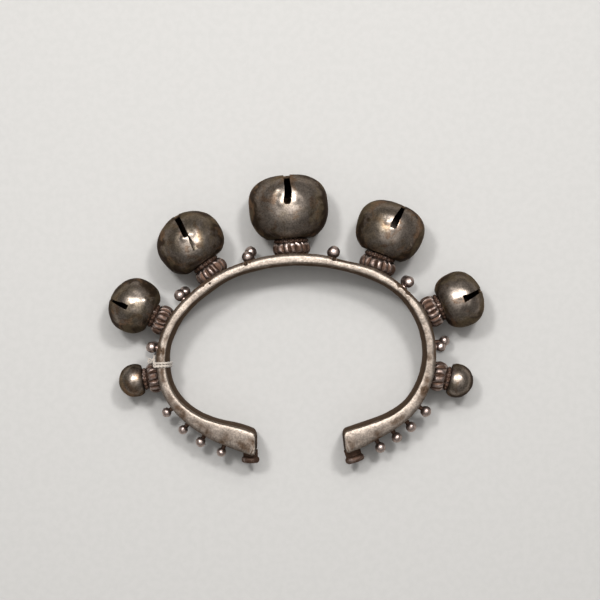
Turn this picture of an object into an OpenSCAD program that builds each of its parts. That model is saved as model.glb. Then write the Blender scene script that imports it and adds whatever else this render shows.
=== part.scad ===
// Open silver cuff with five slit bells and two plain knobs, each on a fluted collar,
// and ball-headed studs between them. It lies on its side, as it rests on a table:
// the wrist axis is close to Z and the open ends point towards -Y.

/* [Wrist oval] */
// Inner width of the oval, side to side
wrist_w = 62; // [60:0.5:68]
// Width of the band, measured along the wrist
band_w = 12; // [11.5:0.5:14]
// Thickness of the band as a share of its usual thickness
thick_share = 1; // [0.9:0.05:1.2]
// How far the inside swells between its two edges
inner_crown = 0.5; // [0.2:0.1:0.8]

/* [Band edges] */
// Height of the raised rims along the outside
rim_h = 0.3; // [0.1:0.05:0.4]
// Width of each raised rim
rim_w = 1.1; // [0.8:0.1:1.2]
// Rounding of the four long edges
edge_r = 0.35; // [0.2:0.05:0.5]
// Rounding of each end at the inner corner
end_inner_r = 1.3; // [0.8:0.1:1.6]
// Rounding of each end at the outer corner
end_outer_r = 0.5; // [0.3:0.1:0.8]

/* [Collars and beads] */
// Depth of the grooves between the ribs
groove_depth = 0.55; // [0.3:0.05:0.7]
// Radius of the granules round each neck
bead_r = 0.5; // [0.4:0.05:0.5]

/* [Bells] */
// Wall of the hollow bells
bell_wall = 0.6; // [0.5:0.1:0.9]

/* [Studs] */
// Distance of the paired studs from the middle of the band
row_offset = 3.4; // [3.0:0.1:3.5]
// Radius of the stalk under each ball
stalk_r = 0.5; // [0.4:0.05:0.6]
// Radius of the wire ring at the foot of each stalk
foot_r = 0.55; // [0.4:0.05:0.6]

/* [Thread] */
// Thickness of the tie thread
thread_d = 0.66; // [0.5:0.02:0.7]

/* [Hidden] */
$fn = 64;

// Gap that neighbouring pieces keep
seat_gap = 0.03;

// Band: angle round the oval, radius of the middle line, thickness at the edge face,
// turn of the section away from the normal
ANGLE = 0;
RADIUS = 1;
THICK = 2;
TURN = 3;
BAND = [
    [-62.5, 24.7, 5.1, -9.6],
    [-55, 25.4, 4.9, -4],
    [-45, 26.8, 4.0, 0],
    [-35, 28.9, 3.3, 0],
    [-25, 30.7, 2.8, 0],
    [-12, 31.9, 2.6, 0],
    [0, 32.1, 2.4, 0],
    [15, 31.15, 2.4, 0],
    [30, 28.9, 1.9, 0],
    [45, 26.1, 2.3, 0],
    [60, 23.5, 1.9, 0],
    [75, 22.4, 2.3, 0],
    [90, 21.9, 2.4, 0],
    [105, 22.2, 2.4, 0],
    [120, 23.2, 2.2, 0],
    [135, 25.0, 2.2, 0],
    [150, 27.1, 2.35, 0],
    [165, 29.9, 2.3, 0],
    [180, 31.9, 2.3, 0],
    [195, 32.15, 2.4, 0],
    [205, 31.15, 2.7, 0],
    [215, 29.2, 3.3, 0],
    [225, 27.1, 4.4, 0],
    [235, 25.2, 5.3, 4],
    [247, 24.2, 5.4, 11.8],
];
USUAL_WRIST_W = 62;
oval_share = wrist_w / USUAL_WRIST_W;
FIRST = BAND[0][ANGLE];
LAST = BAND[len(BAND) - 1][ANGLE];
half_w = band_w / 2;

// Finials: name, angle, lean, collar radius, ribs, height of the neck, radius of the neck
NAME = 0;
PLACE = 1;
LEAN = 2;
COLLAR_R = 3;
RIBS = 4;
NECK_H = 5;
NECK_R = 6;
FINIALS = [
    ["top", 92.6, 1.2, 4.65, 15, 3.1, 4.2],
    ["upper_left", 138.4, 5.0, 4.15, 16, 3.45, 3.4],
    ["upper_right", 44.5, 5.8, 4.7, 15, 3.2, 3.8],
    ["lower_left", 168.5, 1.6, 3.85, 14, 3.6, 3.0],
    ["lower_right", 15.0, -0.8, 4.1, 14, 3.7, 3.4],
    ["knob_left", 190.9, -2.1, 3.8, 13, 3.4, 2.7],
    ["knob_right", -10.2, 1.1, 3.9, 13, 3.7, 3.0],
];

// Bells and knobs: finial, lean about the neck, radius, height of the widest place and of
// the tip, fullness of the inner and of the outer half
FINIAL = 0;
TIP_LEAN = 1;
BELL_R = 2;
WIDEST = 3;
TIP = 4;
FULL_IN = 5;
FULL_OUT = 6;
KNOBS = [
    [5, 0, 3.95, 6.0, 9.75, 2.3, 2.0],
    [6, 0, 4.1, 6.0, 9.9, 2.3, 2.0],
];
// The bells' rows go on with the slit: height of its round end over the neck, its place off
// the axis and its width there, and the same two at the tip
SLIT_START = 7;
SLIT_SIDE = 8;
SLIT_W = 9;
TIP_SIDE = 10;
TIP_W = 11;
BELLS = [
    [0, 1.3, 9.5, 11.3, 18.9, 2.4, 2.7, 8.4, -0.1, 1.4, -0.25, 1.8],
    [1, -1.2, 8.1, 10.2, 17.1, 2.6, 2.0, 3.8, -0.35, 0.75, -1.0, 1.5],
    [2, -2.9, 8.1, 10.7, 16.6, 2.6, 2.4, 7.1, -0.05, 1.1, -1.0, 1.2],
    [3, -1.8, 6.7, 9.4, 14.8, 2.5, 2.0, 6.0, 0.8, 0.85, 1.3, 0.5],
    [4, -4, 6.7, 9.4, 14.4, 2.7, 2.1, 5.5, 0.2, 1.4, 0.4, 0.8],
];

// Studs: name, angle, distance across from the middle, height and radius of the ball
ACROSS = 2;
BALL_H = 3;
BALL_R = 4;
STUDS = [
    ["top_left_front", 118.3, row_offset, 0.9, 1.4],
    ["top_left_back", 116.0, -row_offset, 2.05, 1.4],
    ["top_right_front", 68.3, row_offset, 1.25, 1.5],
    ["top_right_back", 68.7, -row_offset, 1.3, 1.4],
    ["left_upper_front", 156.3, row_offset, 1.3, 1.4],
    ["left_upper_back", 154.4, -row_offset, 1.35, 1.4],
    ["right_upper_front", 29.8, row_offset, 1.6, 1.35],
    ["right_upper_back", 30.4, -row_offset, 1.7, 1.35],
    ["left_front", 179.4, row_offset, 1.4, 1.3],
    ["left_back", 179.4, -row_offset, 1.25, 1.3],
    ["right_front", 1.3, row_offset, 1.15, 1.2],
    ["right_back", 2.7, -row_offset, 2.75, 1.25],
    ["left_1", 204.5, 0, 1.95, 1.15],
    ["left_2", 213.0, 0, 2.15, 1.1],
    ["left_3", 221.4, 0, 2.15, 1.2],
    ["left_4", 230.6, 0, 2.2, 1.1],
    ["right_1", -24.0, 0, 2.3, 1.3],
    ["right_2", -31.6, 0, 2.25, 1.25],
    ["right_3", -38.3, 0, 2.3, 1.25],
    ["right_4", -46.8, 0, 2.5, 1.25],
];

// Buttons: name, angle, lean from the face's normal, radius, height
BUTTON_R = 3;
BUTTON_H = 4;
BUTTONS = [
    ["button_left", 243.7, 15, 2.15, 2.5],
    ["button_right", -59.1, -3, 2.35, 3.1],
];

COLLAR_NAMES = [for (f = FINIALS) str("collar_", f[NAME])];
BEAD_NAMES = [for (f = FINIALS) str("beads_", f[NAME])];
BELL_NAMES = [for (b = BELLS) str("bell_", FINIALS[b[FINIAL]][NAME])];
KNOB_NAMES = [for (k = KNOBS) FINIALS[k[FINIAL]][NAME]];
SHOT_NAMES = [for (s = STUDS) str("shot_", s[NAME])];

// Smooth curve through one column of a table whose first column is the angle
function row_before(tab, a, i = 0) =
    (i >= len(tab) - 2 || a <= tab[i + 1][0]) ? i : row_before(tab, a, i + 1);
function slope(tab, i, k) =
    let (p = max(i - 1, 0), q = min(i + 1, len(tab) - 1))
    (tab[q][k] - tab[p][k]) / (tab[q][0] - tab[p][0]);
function smooth(tab, a, k) =
    let (i = row_before(tab, a), h = tab[i + 1][0] - tab[i][0], u = (a - tab[i][0]) / h)
    (2 * pow(u, 3) - 3 * pow(u, 2) + 1) * tab[i][k]
    + (pow(u, 3) - 2 * pow(u, 2) + u) * h * slope(tab, i, k)
    + (3 * pow(u, 2) - 2 * pow(u, 3)) * tab[i + 1][k]
    + (pow(u, 3) - pow(u, 2)) * h * slope(tab, i + 1, k);

// The band's middle line, the direction of its section there, its half thickness, its outer
// edge at an angle and the direction that the outer face looks in
function heading(v) = atan2(v.y, v.x);
function towards(d) = [cos(d), sin(d)];
function middle(a) = smooth(BAND, a, RADIUS) * oval_share * towards(a);
function normal_to(d) = [d.y, -d.x] / norm(d);
function outward(a) = normal_to(middle(a + 0.5) - middle(a - 0.5));
function turned(a) = towards(heading(outward(a)) + smooth(BAND, a, TURN));
function half_t(a) = smooth(BAND, a, THICK) * thick_share / 2;
function outer_edge(a) = middle(a) + turned(a) * half_t(a);
function facing(a) = heading(normal_to(outer_edge(a + 0.5) - outer_edge(a - 0.5)));

// Points of a quarter circle round c, from angle a to a + 90
function corner(c, r, a, steps = 2) =
    [for (k = [0:steps]) c + r * towards(a + 90 * k / steps)];

// Section of the band, as distance from the middle line and place along the wrist.
// The ends are rounded: cut_in, cut_out and cut_side say how much each side draws back.
RIM_SLOPE = 0.35;
CROWN_STEPS = 6;
function section(t, cut_in, cut_out, cut_side) =
    let (
        o = t - cut_out,
        i = -t + cut_in,
        w = half_w - cut_side,
        rim = rim_h * (1 - cut_in / (2 * end_inner_r)),
        crown = inner_crown * (1 - cut_in / (2 * end_inner_r)),
        r = edge_r
    )
    concat(
        corner([i + r, w - r], r, 90),
        [for (k = [1:CROWN_STEPS - 1])
            let (z = (w - r) * (1 - 2 * k / CROWN_STEPS))
            [i - crown * (1 - pow(z / (w - r), 2)), z]],
        corner([i + r, r - w], r, 180),
        corner([o - r, r - w], r, 270),
        [[o, rim_w - w], [o - rim, rim_w + RIM_SLOPE - w]],
        [[o - rim, w - rim_w - RIM_SLOPE], [o, w - rim_w]],
        corner([o - r, w - r], r, 0)
    );

// Draws a corner of radius r back at distance d from the end
function drawn_back(d, r) = d >= r ? 0 : r - sqrt(r * r - (r - d) * (r - d));

STATION_STEP = 4.6;
END_STEPS = [0, 0.25, 0.7, 1.5, 2.6];
inner_span = LAST - FIRST - 2 * STATION_STEP;
station_count = round(inner_span / STATION_STEP);
STATIONS = concat(
    [for (s = END_STEPS) FIRST + s],
    [for (k = [0:station_count]) FIRST + STATION_STEP + inner_span * k / station_count],
    [for (k = [len(END_STEPS) - 1:-1:0]) LAST - END_STEPS[k]]
);

function station_points(a) =
    let (
        d = min(norm(middle(a) - middle(FIRST)), norm(middle(a) - middle(LAST))),
        s = section(half_t(a), drawn_back(d, end_inner_r), drawn_back(d, end_outer_r),
            drawn_back(d, end_outer_r)),
        m = middle(a),
        n = turned(a)
    )
    [for (p = s) [m.x + n.x * p[0], m.y + n.y * p[0], p[1]]];

// Skin between rings of equal count, closed at each end by a flat face, or by a fan round a
// pole where both poles are given
function ring_faces(rings, count) =
    [for (i = [0:rings - 2], j = [0:count - 1], half = [0, 1])
        let (p = i * count + j, q = i * count + (j + 1) % count)
        half == 0 ? [p, q, q + count] : [p, q + count, p + count]];
function end_faces(rings, count) =
    [[for (j = [count - 1:-1:0]) j], [for (j = [0:count - 1]) (rings - 1) * count + j]];
function fan_faces(rings, count) =
    let (top = (rings - 1) * count, pole = rings * count)
    [for (j = [0:count - 1], end = [0, 1])
        let (k = (j + 1) % count)
        end == 0 ? [k, j, pole] : [top + j, top + k, pole + 1]];

module skin(rings, poles = []) {
    count = len(rings[0]);
    n = len(rings);
    polyhedron(
        points = concat([for (r = rings) each r], poles),
        faces = concat(ring_faces(n, count), len(poles) == 2 ? fan_faces(n, count) : end_faces(n, count))
    );
}

// Puts a piece on the band: X runs along the band, Y along the wrist, Z outwards from
// the outer edge, turned by lean
module stand(angle, lean = 0) {
    p = outer_edge(angle);
    translate([p.x, p.y, 0])
        rotate([0, 0, facing(angle) + lean + 90])
            rotate([90, 0, 0])
                children();
}

// Radius of a bell at a height over the band; wall draws it in for the hollow
function inner_length(b, wall) =
    let (
        f = FINIALS[b[FINIAL]],
        share = pow(f[NECK_R] / b[BELL_R], b[FULL_IN])
    )
    (b[WIDEST] - f[NECK_H]) / pow(1 - share, 1 / b[FULL_IN]) - wall;
function quarter(r, share, full) =
    share >= 1 ? 0 : r * pow(1 - pow(share, full), 1 / full);
function bell_radius(b, h, wall = 0) =
    h < b[WIDEST]
        ? quarter(b[BELL_R] - wall, (b[WIDEST] - h) / inner_length(b, wall), b[FULL_IN])
        : quarter(b[BELL_R] - wall, (h - b[WIDEST]) / (b[TIP] - b[WIDEST] - wall), b[FULL_OUT]);

// Point on a bell's axis at a height, and the direction of that axis
function bell_heading(b) =
    let (f = FINIALS[b[FINIAL]])
    facing(f[PLACE]) + f[LEAN] + b[TIP_LEAN];
function bell_axis(b, h) =
    let (f = FINIALS[b[FINIAL]], neck = towards(bell_heading(b) - b[TIP_LEAN]) * f[NECK_H])
    outer_edge(f[PLACE]) + neck + towards(bell_heading(b)) * (h - f[NECK_H]);
BELL_LEVELS = 40;
function bell_levels(b) =
    let (low = FINIALS[b[FINIAL]][NECK_H] + 1)
    [for (k = [0:BELL_LEVELS]) low + (b[TIP] - low) * k / BELL_LEVELS];

// How it lies on the table: on the top bell and on the lower edges of the two ends
end_contact = outer_edge(LAST - END_STEPS[4]).y;
tilt = max([for (h = bell_levels(BELLS[0]))
    atan2(bell_radius(BELLS[0], h) - half_w, bell_axis(BELLS[0], h).y - end_contact)]);
lift = half_w * cos(tilt) - end_contact * sin(tilt);

// How far a bell and a button reach along a direction of the tilted model
function bell_reach(b, along) =
    let (c = towards(bell_heading(b)) * along)
    max([for (h = bell_levels(b)) bell_axis(b, h) * along + bell_radius(b, h) * sqrt(1 - c * c)]);
reach_right = bell_reach(BELLS[4], [1, 0]);
reach_left = bell_reach(BELLS[3], [-1, 0]);
reach_up = bell_reach(BELLS[0], [0, cos(tilt)]);
reach_down = (BUTTONS[0][BUTTON_H] - outer_edge(BUTTONS[0][PLACE]).y) * cos(tilt);

module lay() {
    translate([(reach_left - reach_right) / 2, (reach_down - reach_up) / 2, lift])
        rotate([tilt, 0, 0])
            children();
}

// Outline of a bell from its base to its tip, closer together towards the tip
LOWER_LEVELS = 9;
UPPER_LEVELS = 11;
function bell_outline(b, base, wall = 0) =
    concat(
        [[0, base]],
        [for (k = [0:LOWER_LEVELS - 1])
            let (h = base + (b[WIDEST] - base) * k / LOWER_LEVELS)
            [bell_radius(b, h, wall), h]],
        [for (k = [0:UPPER_LEVELS])
            let (h = b[WIDEST] + (b[TIP] - wall - b[WIDEST]) * sin(90 * k / UPPER_LEVELS))
            [k == UPPER_LEVELS ? 0 : bell_radius(b, h, wall), h]]
    );

module band() {
    color("#b9ac9c")
        lay()
            skin([for (a = STATIONS) station_points(a)]);
}

// Fluted collar: a barrel whose ribs follow its curve, leaning on a foot that stays flat
COLLAR_LEVELS = [0, 0.12, 0.28, 0.5, 0.72, 0.88, 1];
RIB_STEPS = 5;
BASE_SHARE = 0.8;
BARREL_FULL = 2.2;
function barrel(f, v) =
    let (
        top_share = f[NECK_R] / f[COLLAR_R],
        end_share = v < 0.5 ? BASE_SHARE : top_share
    )
    f[COLLAR_R] * (1 - (1 - end_share) * pow(abs(2 * v - 1), BARREL_FULL));
function collar_point(f, v, r, a) =
    let (
        floor_z = (seat_gap - rim_h + r * cos(a) * sin(f[LEAN])) / cos(f[LEAN]),
        roof_z = f[NECK_H] - bead_r - seat_gap
    )
    [r * cos(a), r * sin(a), floor_z + (roof_z - floor_z) * v];
function rib_ring(f, v) =
    let (
        count = f[RIBS] * RIB_STEPS,
        depth = groove_depth * (0.45 + 0.55 * sin(180 * v))
    )
    [for (j = [0:count - 1])
        let (a = 360 * j / count, groove = depth * (1 - abs(cos(f[RIBS] * a / 2))))
        collar_point(f, v, barrel(f, v) - groove, a)];
module collar(f) {
    color("#6b564a")
        lay()
            stand(f[PLACE], f[LEAN])
                skin([for (v = COLLAR_LEVELS) rib_ring(f, v)],
                    [collar_point(f, 0, 0, 0), collar_point(f, 1, 0, 0)]);
}

// Disc with a ring of granules, between the collar and its bell or knob
BEAD_PITCH = 2.1;
module beads(f) {
    ring_r = f[NECK_R] - bead_r;
    count = floor(360 / (2 * asin(BEAD_PITCH * bead_r / (2 * ring_r))));
    color("#8a7668")
        lay()
            stand(f[PLACE], f[LEAN])
                translate([0, 0, f[NECK_H]]) {
                    cylinder(r = ring_r + 0.1, h = 2 * bead_r, center = true);
                    for (k = [0:count - 1])
                        rotate([0, 0, 360 * k / count])
                            translate([ring_r, 0, 0])
                                sphere(r = bead_r * 0.96, $fn = 24);
                }
}

// Leans a bell's pieces about its neck
module leaning(b) {
    neck = FINIALS[b[FINIAL]][NECK_H];
    translate([0, 0, neck])
        rotate([0, b[TIP_LEAN], 0])
            translate([0, 0, -neck])
                children();
}

// Takes away all that lies below a height
module cut_below(height, reach) {
    difference() {
        children();
        translate([-reach, -reach, height - reach])
            cube([2 * reach, 2 * reach, reach]);
    }
}

// Slit that opens a bell on its upper side and runs over the tip, to a little behind it
SLIT_BACK = 1.2;
module slit(b) {
    reach = b[BELL_R] + 1;
    start = FINIALS[b[FINIAL]][NECK_H] + b[SLIT_START] + b[SLIT_W] / 2;
    end = b[TIP] + 1;
    translate([0, reach, 0])
        rotate([90, 0, 0])
            linear_extrude(reach + SLIT_BACK) {
                translate([b[SLIT_SIDE], start])
                    circle(d = b[SLIT_W]);
                polygon([
                    [b[SLIT_SIDE] - b[SLIT_W] / 2, start],
                    [b[SLIT_SIDE] + b[SLIT_W] / 2, start],
                    [b[TIP_SIDE] + b[TIP_W] / 2, end],
                    [b[TIP_SIDE] - b[TIP_W] / 2, end],
                ]);
            }
}

// Body of a bell or knob, from its neck to its tip and cut flat over the granules
module rounded_body(b) {
    f = FINIALS[b[FINIAL]];
    cut_below(f[NECK_H] + bead_r + seat_gap, 2 * b[BELL_R])
        leaning(b)
            rotate_extrude()
                polygon(bell_outline(b, f[NECK_H]));
}

FLOOR_SHARE = 1.4;
module bell(b) {
    f = FINIALS[b[FINIAL]];
    hollow_h = f[NECK_H] + bead_r + seat_gap + FLOOR_SHARE * bell_wall;
    color("#7b6f60")
        lay()
            stand(f[PLACE], f[LEAN])
                difference() {
                    rounded_body(b);
                    leaning(b) {
                        rotate_extrude()
                            polygon(bell_outline(b, hollow_h, bell_wall));
                        slit(b);
                    }
                }
}

module knob(b) {
    f = FINIALS[b[FINIAL]];
    color("#7b6f60")
        lay()
            stand(f[PLACE], f[LEAN])
                rounded_body(b);
}

// Ball-headed stud: ball, stalk and the wire ring at its foot, soldered together
module stud(s) {
    floor_z = seat_gap - rim_h;
    wire_r = 0.28;
    color("#8f7f70")
        lay()
            stand(s[PLACE])
                translate([0, s[ACROSS], 0])
                    rotate_extrude()
                        intersection() {
                            union() {
                                translate([0, s[BALL_H]])
                                    circle(r = s[BALL_R]);
                                translate([0, floor_z])
                                    square([stalk_r, s[BALL_H] - floor_z]);
                                translate([foot_r, floor_z + wire_r])
                                    circle(r = wire_r);
                            }
                            translate([0, floor_z])
                                square([s[BALL_R] + 1, s[BALL_H] + s[BALL_R] + 1]);
                        }
}

// Flattened boss on the outer face of each end
module button(b) {
    bun_r = 0.85;
    root = 2;
    color("#8f7f70")
        lay()
            stand(b[PLACE])
                cut_below(seat_gap - rim_h, 3 * b[BUTTON_R])
                    rotate([0, b[LEAN], 0])
                        rotate_extrude()
                            union() {
                                translate([0, -root])
                                    square([b[BUTTON_R] - 0.4, b[BUTTON_H] - bun_r + root]);
                                translate([0, b[BUTTON_H] - 2 * bun_r])
                                    square([b[BUTTON_R] - bun_r, 2 * bun_r]);
                                translate([b[BUTTON_R] - bun_r, b[BUTTON_H] - bun_r])
                                    circle(r = bun_r);
                            }
}

// Tie thread: one tube wound twice round the band beside the left knob's collar
THREAD_ANGLE = 185.4;
THREAD_BOW = 2.5;
THREAD_SLANT = 1.0;
THREAD_SIDES = 8;
THREAD_PITCH = 1.08;
THREAD_TURNS = 2;
RADIUS_AT_THREAD = norm(middle(THREAD_ANGLE));
thread_r = thread_d / 2;
// One turn round the section, from the middle of the outer run: distance out, place across
function thread_turn() =
    let (
        t = half_t(THREAD_ANGLE),
        c = thread_r + seat_gap,
        r = edge_r,
        w = half_w
    )
    concat(
        [for (k = [0:3]) [t + c, (w - r) * k / 3.6]],
        corner([t - r, w - r], r + c, 0, 3),
        corner([r - t, w - r], r + c, 90, 3),
        [for (k = [1:7])
            let (z = (w - r) * (1 - k / 4))
            [-t - c - inner_crown * (1 - pow(z / (w - r), 2)), z]],
        corner([r - t, r - w], r + c, 180, 3),
        corner([t - r, r - w], r + c, 270, 3),
        [for (k = [3:-1:1]) [t + c, (r - w) * k / 3.6]]
    );
function thread_point(p, share) =
    let (
        t = half_t(THREAD_ANGLE),
        bow = p[0] > t ? THREAD_BOW * (1 - pow(p[1] / half_w, 2)) : 0,
        pitch_angle = THREAD_PITCH * thread_d / (RADIUS_AT_THREAD + p[0]) * 180 / PI,
        a = THREAD_ANGLE - max(bow, 0) + THREAD_SLANT * (1 - p[0] / t) / 2
            + (share - THREAD_TURNS / 2) * pitch_angle,
        q = middle(a) + outward(a) * p[0]
    )
    [q.x, q.y, p[1]];
function thread_path() =
    let (turn = thread_turn(), count = len(turn))
    [for (k = [0:THREAD_TURNS * count - 1]) thread_point(turn[k % count], k / count)];
function tube_ring(path, i, r, sides) =
    let (
        p = path[max(i - 1, 0)],
        q = path[min(i + 1, len(path) - 1)],
        d = (q - p) / norm(q - p),
        s = cross(d, cross([path[i].y, -path[i].x, 0] / norm(path[i]), d)),
        u = s / norm(s),
        v = cross(d, u)
    )
    [for (j = [0:sides - 1])
        path[i] + r * (cos(360 * j / sides) * u + sin(360 * j / sides) * v)];
module tie_thread() {
    path = thread_path();
    color("#d8d0c2")
        lay()
            skin([for (i = [0:len(path) - 1]) tube_ring(path, i, thread_r, THREAD_SIDES)]);
}

band();
tie_thread();
for (k = [0:len(FINIALS) - 1]) {
    collar(FINIALS[k]);
    beads(FINIALS[k]);
}
for (k = [0:len(BELLS) - 1])
    bell(BELLS[k]);
for (k = [0:len(KNOBS) - 1])
    knob(KNOBS[k]);
for (k = [0:len(STUDS) - 1])
    stud(STUDS[k]);
for (b = BUTTONS)
    button(b);
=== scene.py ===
"""Silver bell cuff: a hand-wrought oval band with slit bells, plain knobs, fluted collars,
ball studs, end buttons and a tied thread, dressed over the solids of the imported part."""

import math

import bpy
import numpy as np
from bpy.props import FloatProperty, FloatVectorProperty, PointerProperty
from bpy.types import Operator, Panel, PropertyGroup
from mathutils import Matrix, Vector, noise
from mathutils.bvhtree import BVHTree


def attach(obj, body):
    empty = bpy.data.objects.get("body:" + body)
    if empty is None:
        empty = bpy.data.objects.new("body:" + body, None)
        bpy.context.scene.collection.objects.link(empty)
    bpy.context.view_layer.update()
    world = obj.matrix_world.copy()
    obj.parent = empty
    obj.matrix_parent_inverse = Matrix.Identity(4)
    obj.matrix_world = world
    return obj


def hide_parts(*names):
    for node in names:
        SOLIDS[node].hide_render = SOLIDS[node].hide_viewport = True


bl_info = {
    "name": "Silver bell cuff",
    "version": (1, 0, 0),
    "blender": (4, 5, 0),
    "location": "View3D > Sidebar > Bell cuff",
    "description": "Dresses the cuff's solids with wrought, tarnished silver and a tied thread",
    "category": "Add Mesh",
}

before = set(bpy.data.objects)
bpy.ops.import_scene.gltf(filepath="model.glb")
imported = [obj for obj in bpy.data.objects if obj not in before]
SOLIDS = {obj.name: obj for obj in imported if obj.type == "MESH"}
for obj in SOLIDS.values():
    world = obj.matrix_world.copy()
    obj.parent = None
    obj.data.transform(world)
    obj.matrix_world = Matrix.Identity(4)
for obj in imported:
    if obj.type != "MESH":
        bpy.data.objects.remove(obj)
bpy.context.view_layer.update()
MM = 0.001

# How the cuff lies on the table: tipped about X, with the middle of its oval here
TIP_ANGLE = math.radians(3.429)
OVAL_MIDDLE = Vector((-0.0956, -7.4356, 7.4655)) * MM
LIE = Matrix.Translation(OVAL_MIDDLE) @ Matrix.Rotation(TIP_ANGLE, 4, "X")
UNLIE = LIE.inverted()
BAND_FACES = BVHTree.FromPolygons(
    [vertex.co.copy() for vertex in SOLIDS["band"].data.vertices],
    [tuple(face.vertices) for face in SOLIDS["band"].data.polygons])

FINIALS = ("top", "upper_left", "upper_right", "lower_left", "lower_right", "knob_left", "knob_right")

# Bells: lean about the neck in degrees, share of the height at the widest place, fullness
# of the inner and of the outer half
BELLS = {
    "top": (1.3, 0.52, 2.4, 2.7),
    "upper_left": (-1.2, 0.495, 2.6, 2.0),
    "upper_right": (-2.9, 0.56, 2.6, 2.4),
    "lower_left": (-1.8, 0.518, 2.5, 2.0),
    "lower_right": (-4.0, 0.533, 2.7, 2.1),
}

# Slits, from the inner end to over the tip: height over the neck, then the places of the
# left and the right lip off the bell's axis, in millimetres
SLITS = {
    "top": ((8.3, 0.5, -0.3), (8.45, 0.82, -0.6), (8.8, 1.0, -0.78), (9.5, 0.98, -0.88),
            (10.3, 0.82, -1.02), (11.5, 0.62, -1.12), (12.5, 0.58, -1.02), (13.5, 0.6, -0.88),
            (17.0, 0.65, -0.8)),
    "upper_left": ((3.7, 0.14, -0.76), (3.9, 0.26, -0.9), (4.6, 0.2, -0.94), (5.6, -0.04, -0.94),
                   (6.6, -0.38, -0.92), (7.35, -0.58, -0.92), (7.5, 0.16, -0.92), (8.2, 0.3, -1.0),
                   (8.8, 0.26, -1.1), (10.0, 0.03, -1.3), (11.4, -0.1, -1.5), (15.0, -0.25, -1.7)),
    "upper_right": ((7.0, 0.4, -0.72), (7.15, 0.6, -0.92), (8.0, 0.66, -1.0), (8.8, 0.6, -1.04),
                    (10.0, 0.4, -1.12), (11.0, 0.1, -1.18), (12.3, -0.3, -1.3), (14.5, -0.62, -1.5)),
    "lower_left": ((6.0, 1.3, 0.5), (6.1, 1.56, 0.36), (6.9, 1.64, 0.34), (7.7, 1.62, 0.42),
                   (8.5, 1.62, 0.72), (9.5, 1.6, 0.92), (12.5, 1.55, 1.0)),
    "lower_right": ((5.5, 0.6, -0.86), (5.62, 0.76, -1.0), (6.1, 0.7, -0.95), (6.8, 0.54, -0.82),
                    (7.6, 0.56, -0.7), (8.7, 0.64, -0.5), (10.0, 0.66, -0.3), (12.0, 0.66, -0.2)),
}
SLIT_BACK = 0.4 * MM

# Dents and bumps on a bell's upper side: place off the axis, height over the neck, radius
# and depth, in millimetres. A bump has a depth under 0.
DENTS = {
    "top": ((2.3, 11.0, 1.3, 0.16), (2.5, 11.9, 1.1, -0.12), (1.6, 8.7, 1.2, -0.14),
            (-1.8, 9.1, 1.3, -0.16), (6.7, 6.3, 0.9, -0.16), (-8.2, 7.5, 0.9, 0.18),
            (-7.6, 9.4, 1.2, 0.18), (-4.3, 3.4, 2.2, 0.16), (-4.0, 11.5, 2.4, 0.12),
            (5.5, 12.0, 2.6, 0.1)),
    "upper_left": ((0.6, 7.5, 0.9, -0.34), (-1.6, 7.3, 1.1, -0.14), (-5.3, 5.1, 1.0, -0.16),
                   (-5.6, 2.6, 1.8, -0.2), (5.0, 4.0, 2.5, 0.15), (-3.6, 9.6, 2.0, 0.1),
                   (4.6, 9.3, 2.4, 0.12)),
    "upper_right": ((1.5, 8.0, 1.1, -0.16), (-0.3, 6.6, 0.9, -0.16), (7.2, 8.0, 1.0, -0.14),
                    (5.9, 6.8, 0.9, 0.14), (-5.4, 4.7, 1.0, -0.14), (3.6, 3.6, 2.2, 0.14),
                    (-4.4, 9.5, 2.2, 0.12)),
    "lower_left": ((-0.4, 5.5, 0.9, -0.12), (-2.7, 3.0, 0.9, -0.16), (-3.5, 1.8, 0.9, -0.16),
                   (-2.9, 6.5, 1.6, 0.14), (2.8, 4.0, 1.8, 0.12)),
    "lower_right": ((0.6, 4.9, 0.9, -0.12), (4.0, 3.7, 1.0, -0.12), (-2.8, 5.0, 1.8, 0.14),
                    (2.9, 7.4, 1.6, 0.1), (-3.5, 8.0, 1.3, -0.1)),
}
# Marks on the band's upper face: place across and up in the upright frame, radius and
# depth, in millimetres. They are pits, the nicks beside two studs and two small dents.
BAND_MARKS = (
    (-20.4, 15.9, 0.3, 0.3), (-21.9, 15.3, 0.24, 0.24), (30.3, -9.3, 0.28, 0.24),
    (-31.9, -0.1, 0.3, 0.22), (-11.9, 20.55, 0.55, 0.6), (9.0, 21.65, 0.55, 0.6),
    (24.5, 15.4, 0.8, 0.19), (26.5, 13.8, 0.8, 0.19))
# Marks deeper than this hold tarnish
DARK_DEPTH = 0.2 * MM
# Worn inner edge of each arm: width, slope and share of tarnish that is rubbed off
LEFT_BEVEL = (0.55 * MM, 0.3, 0.75)
RIGHT_BEVEL = (1.2 * MM, 0.12, 0.32)
# How far the inner wall's middle stands in beyond its edges
INNER_SWELL = 0.45 * MM
# Outer corner of each end, seen from above: its radius on the solid and worn at the faces
END_R = 0.5 * MM
WORN_END_R = 1.2 * MM

# Knobs: share of the height at the widest place, fullness of the inner and of the outer half
KNOBS = {"knob_left": (0.41, 2.3, 2.0), "knob_right": (0.37, 2.3, 2.0)}
# Ribs of each finial's collar
RIBS = {"top": 15, "upper_left": 16, "upper_right": 15, "lower_left": 14, "lower_right": 14,
        "knob_left": 11, "knob_right": 11}


# Sizes and colours that a user would change

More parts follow.
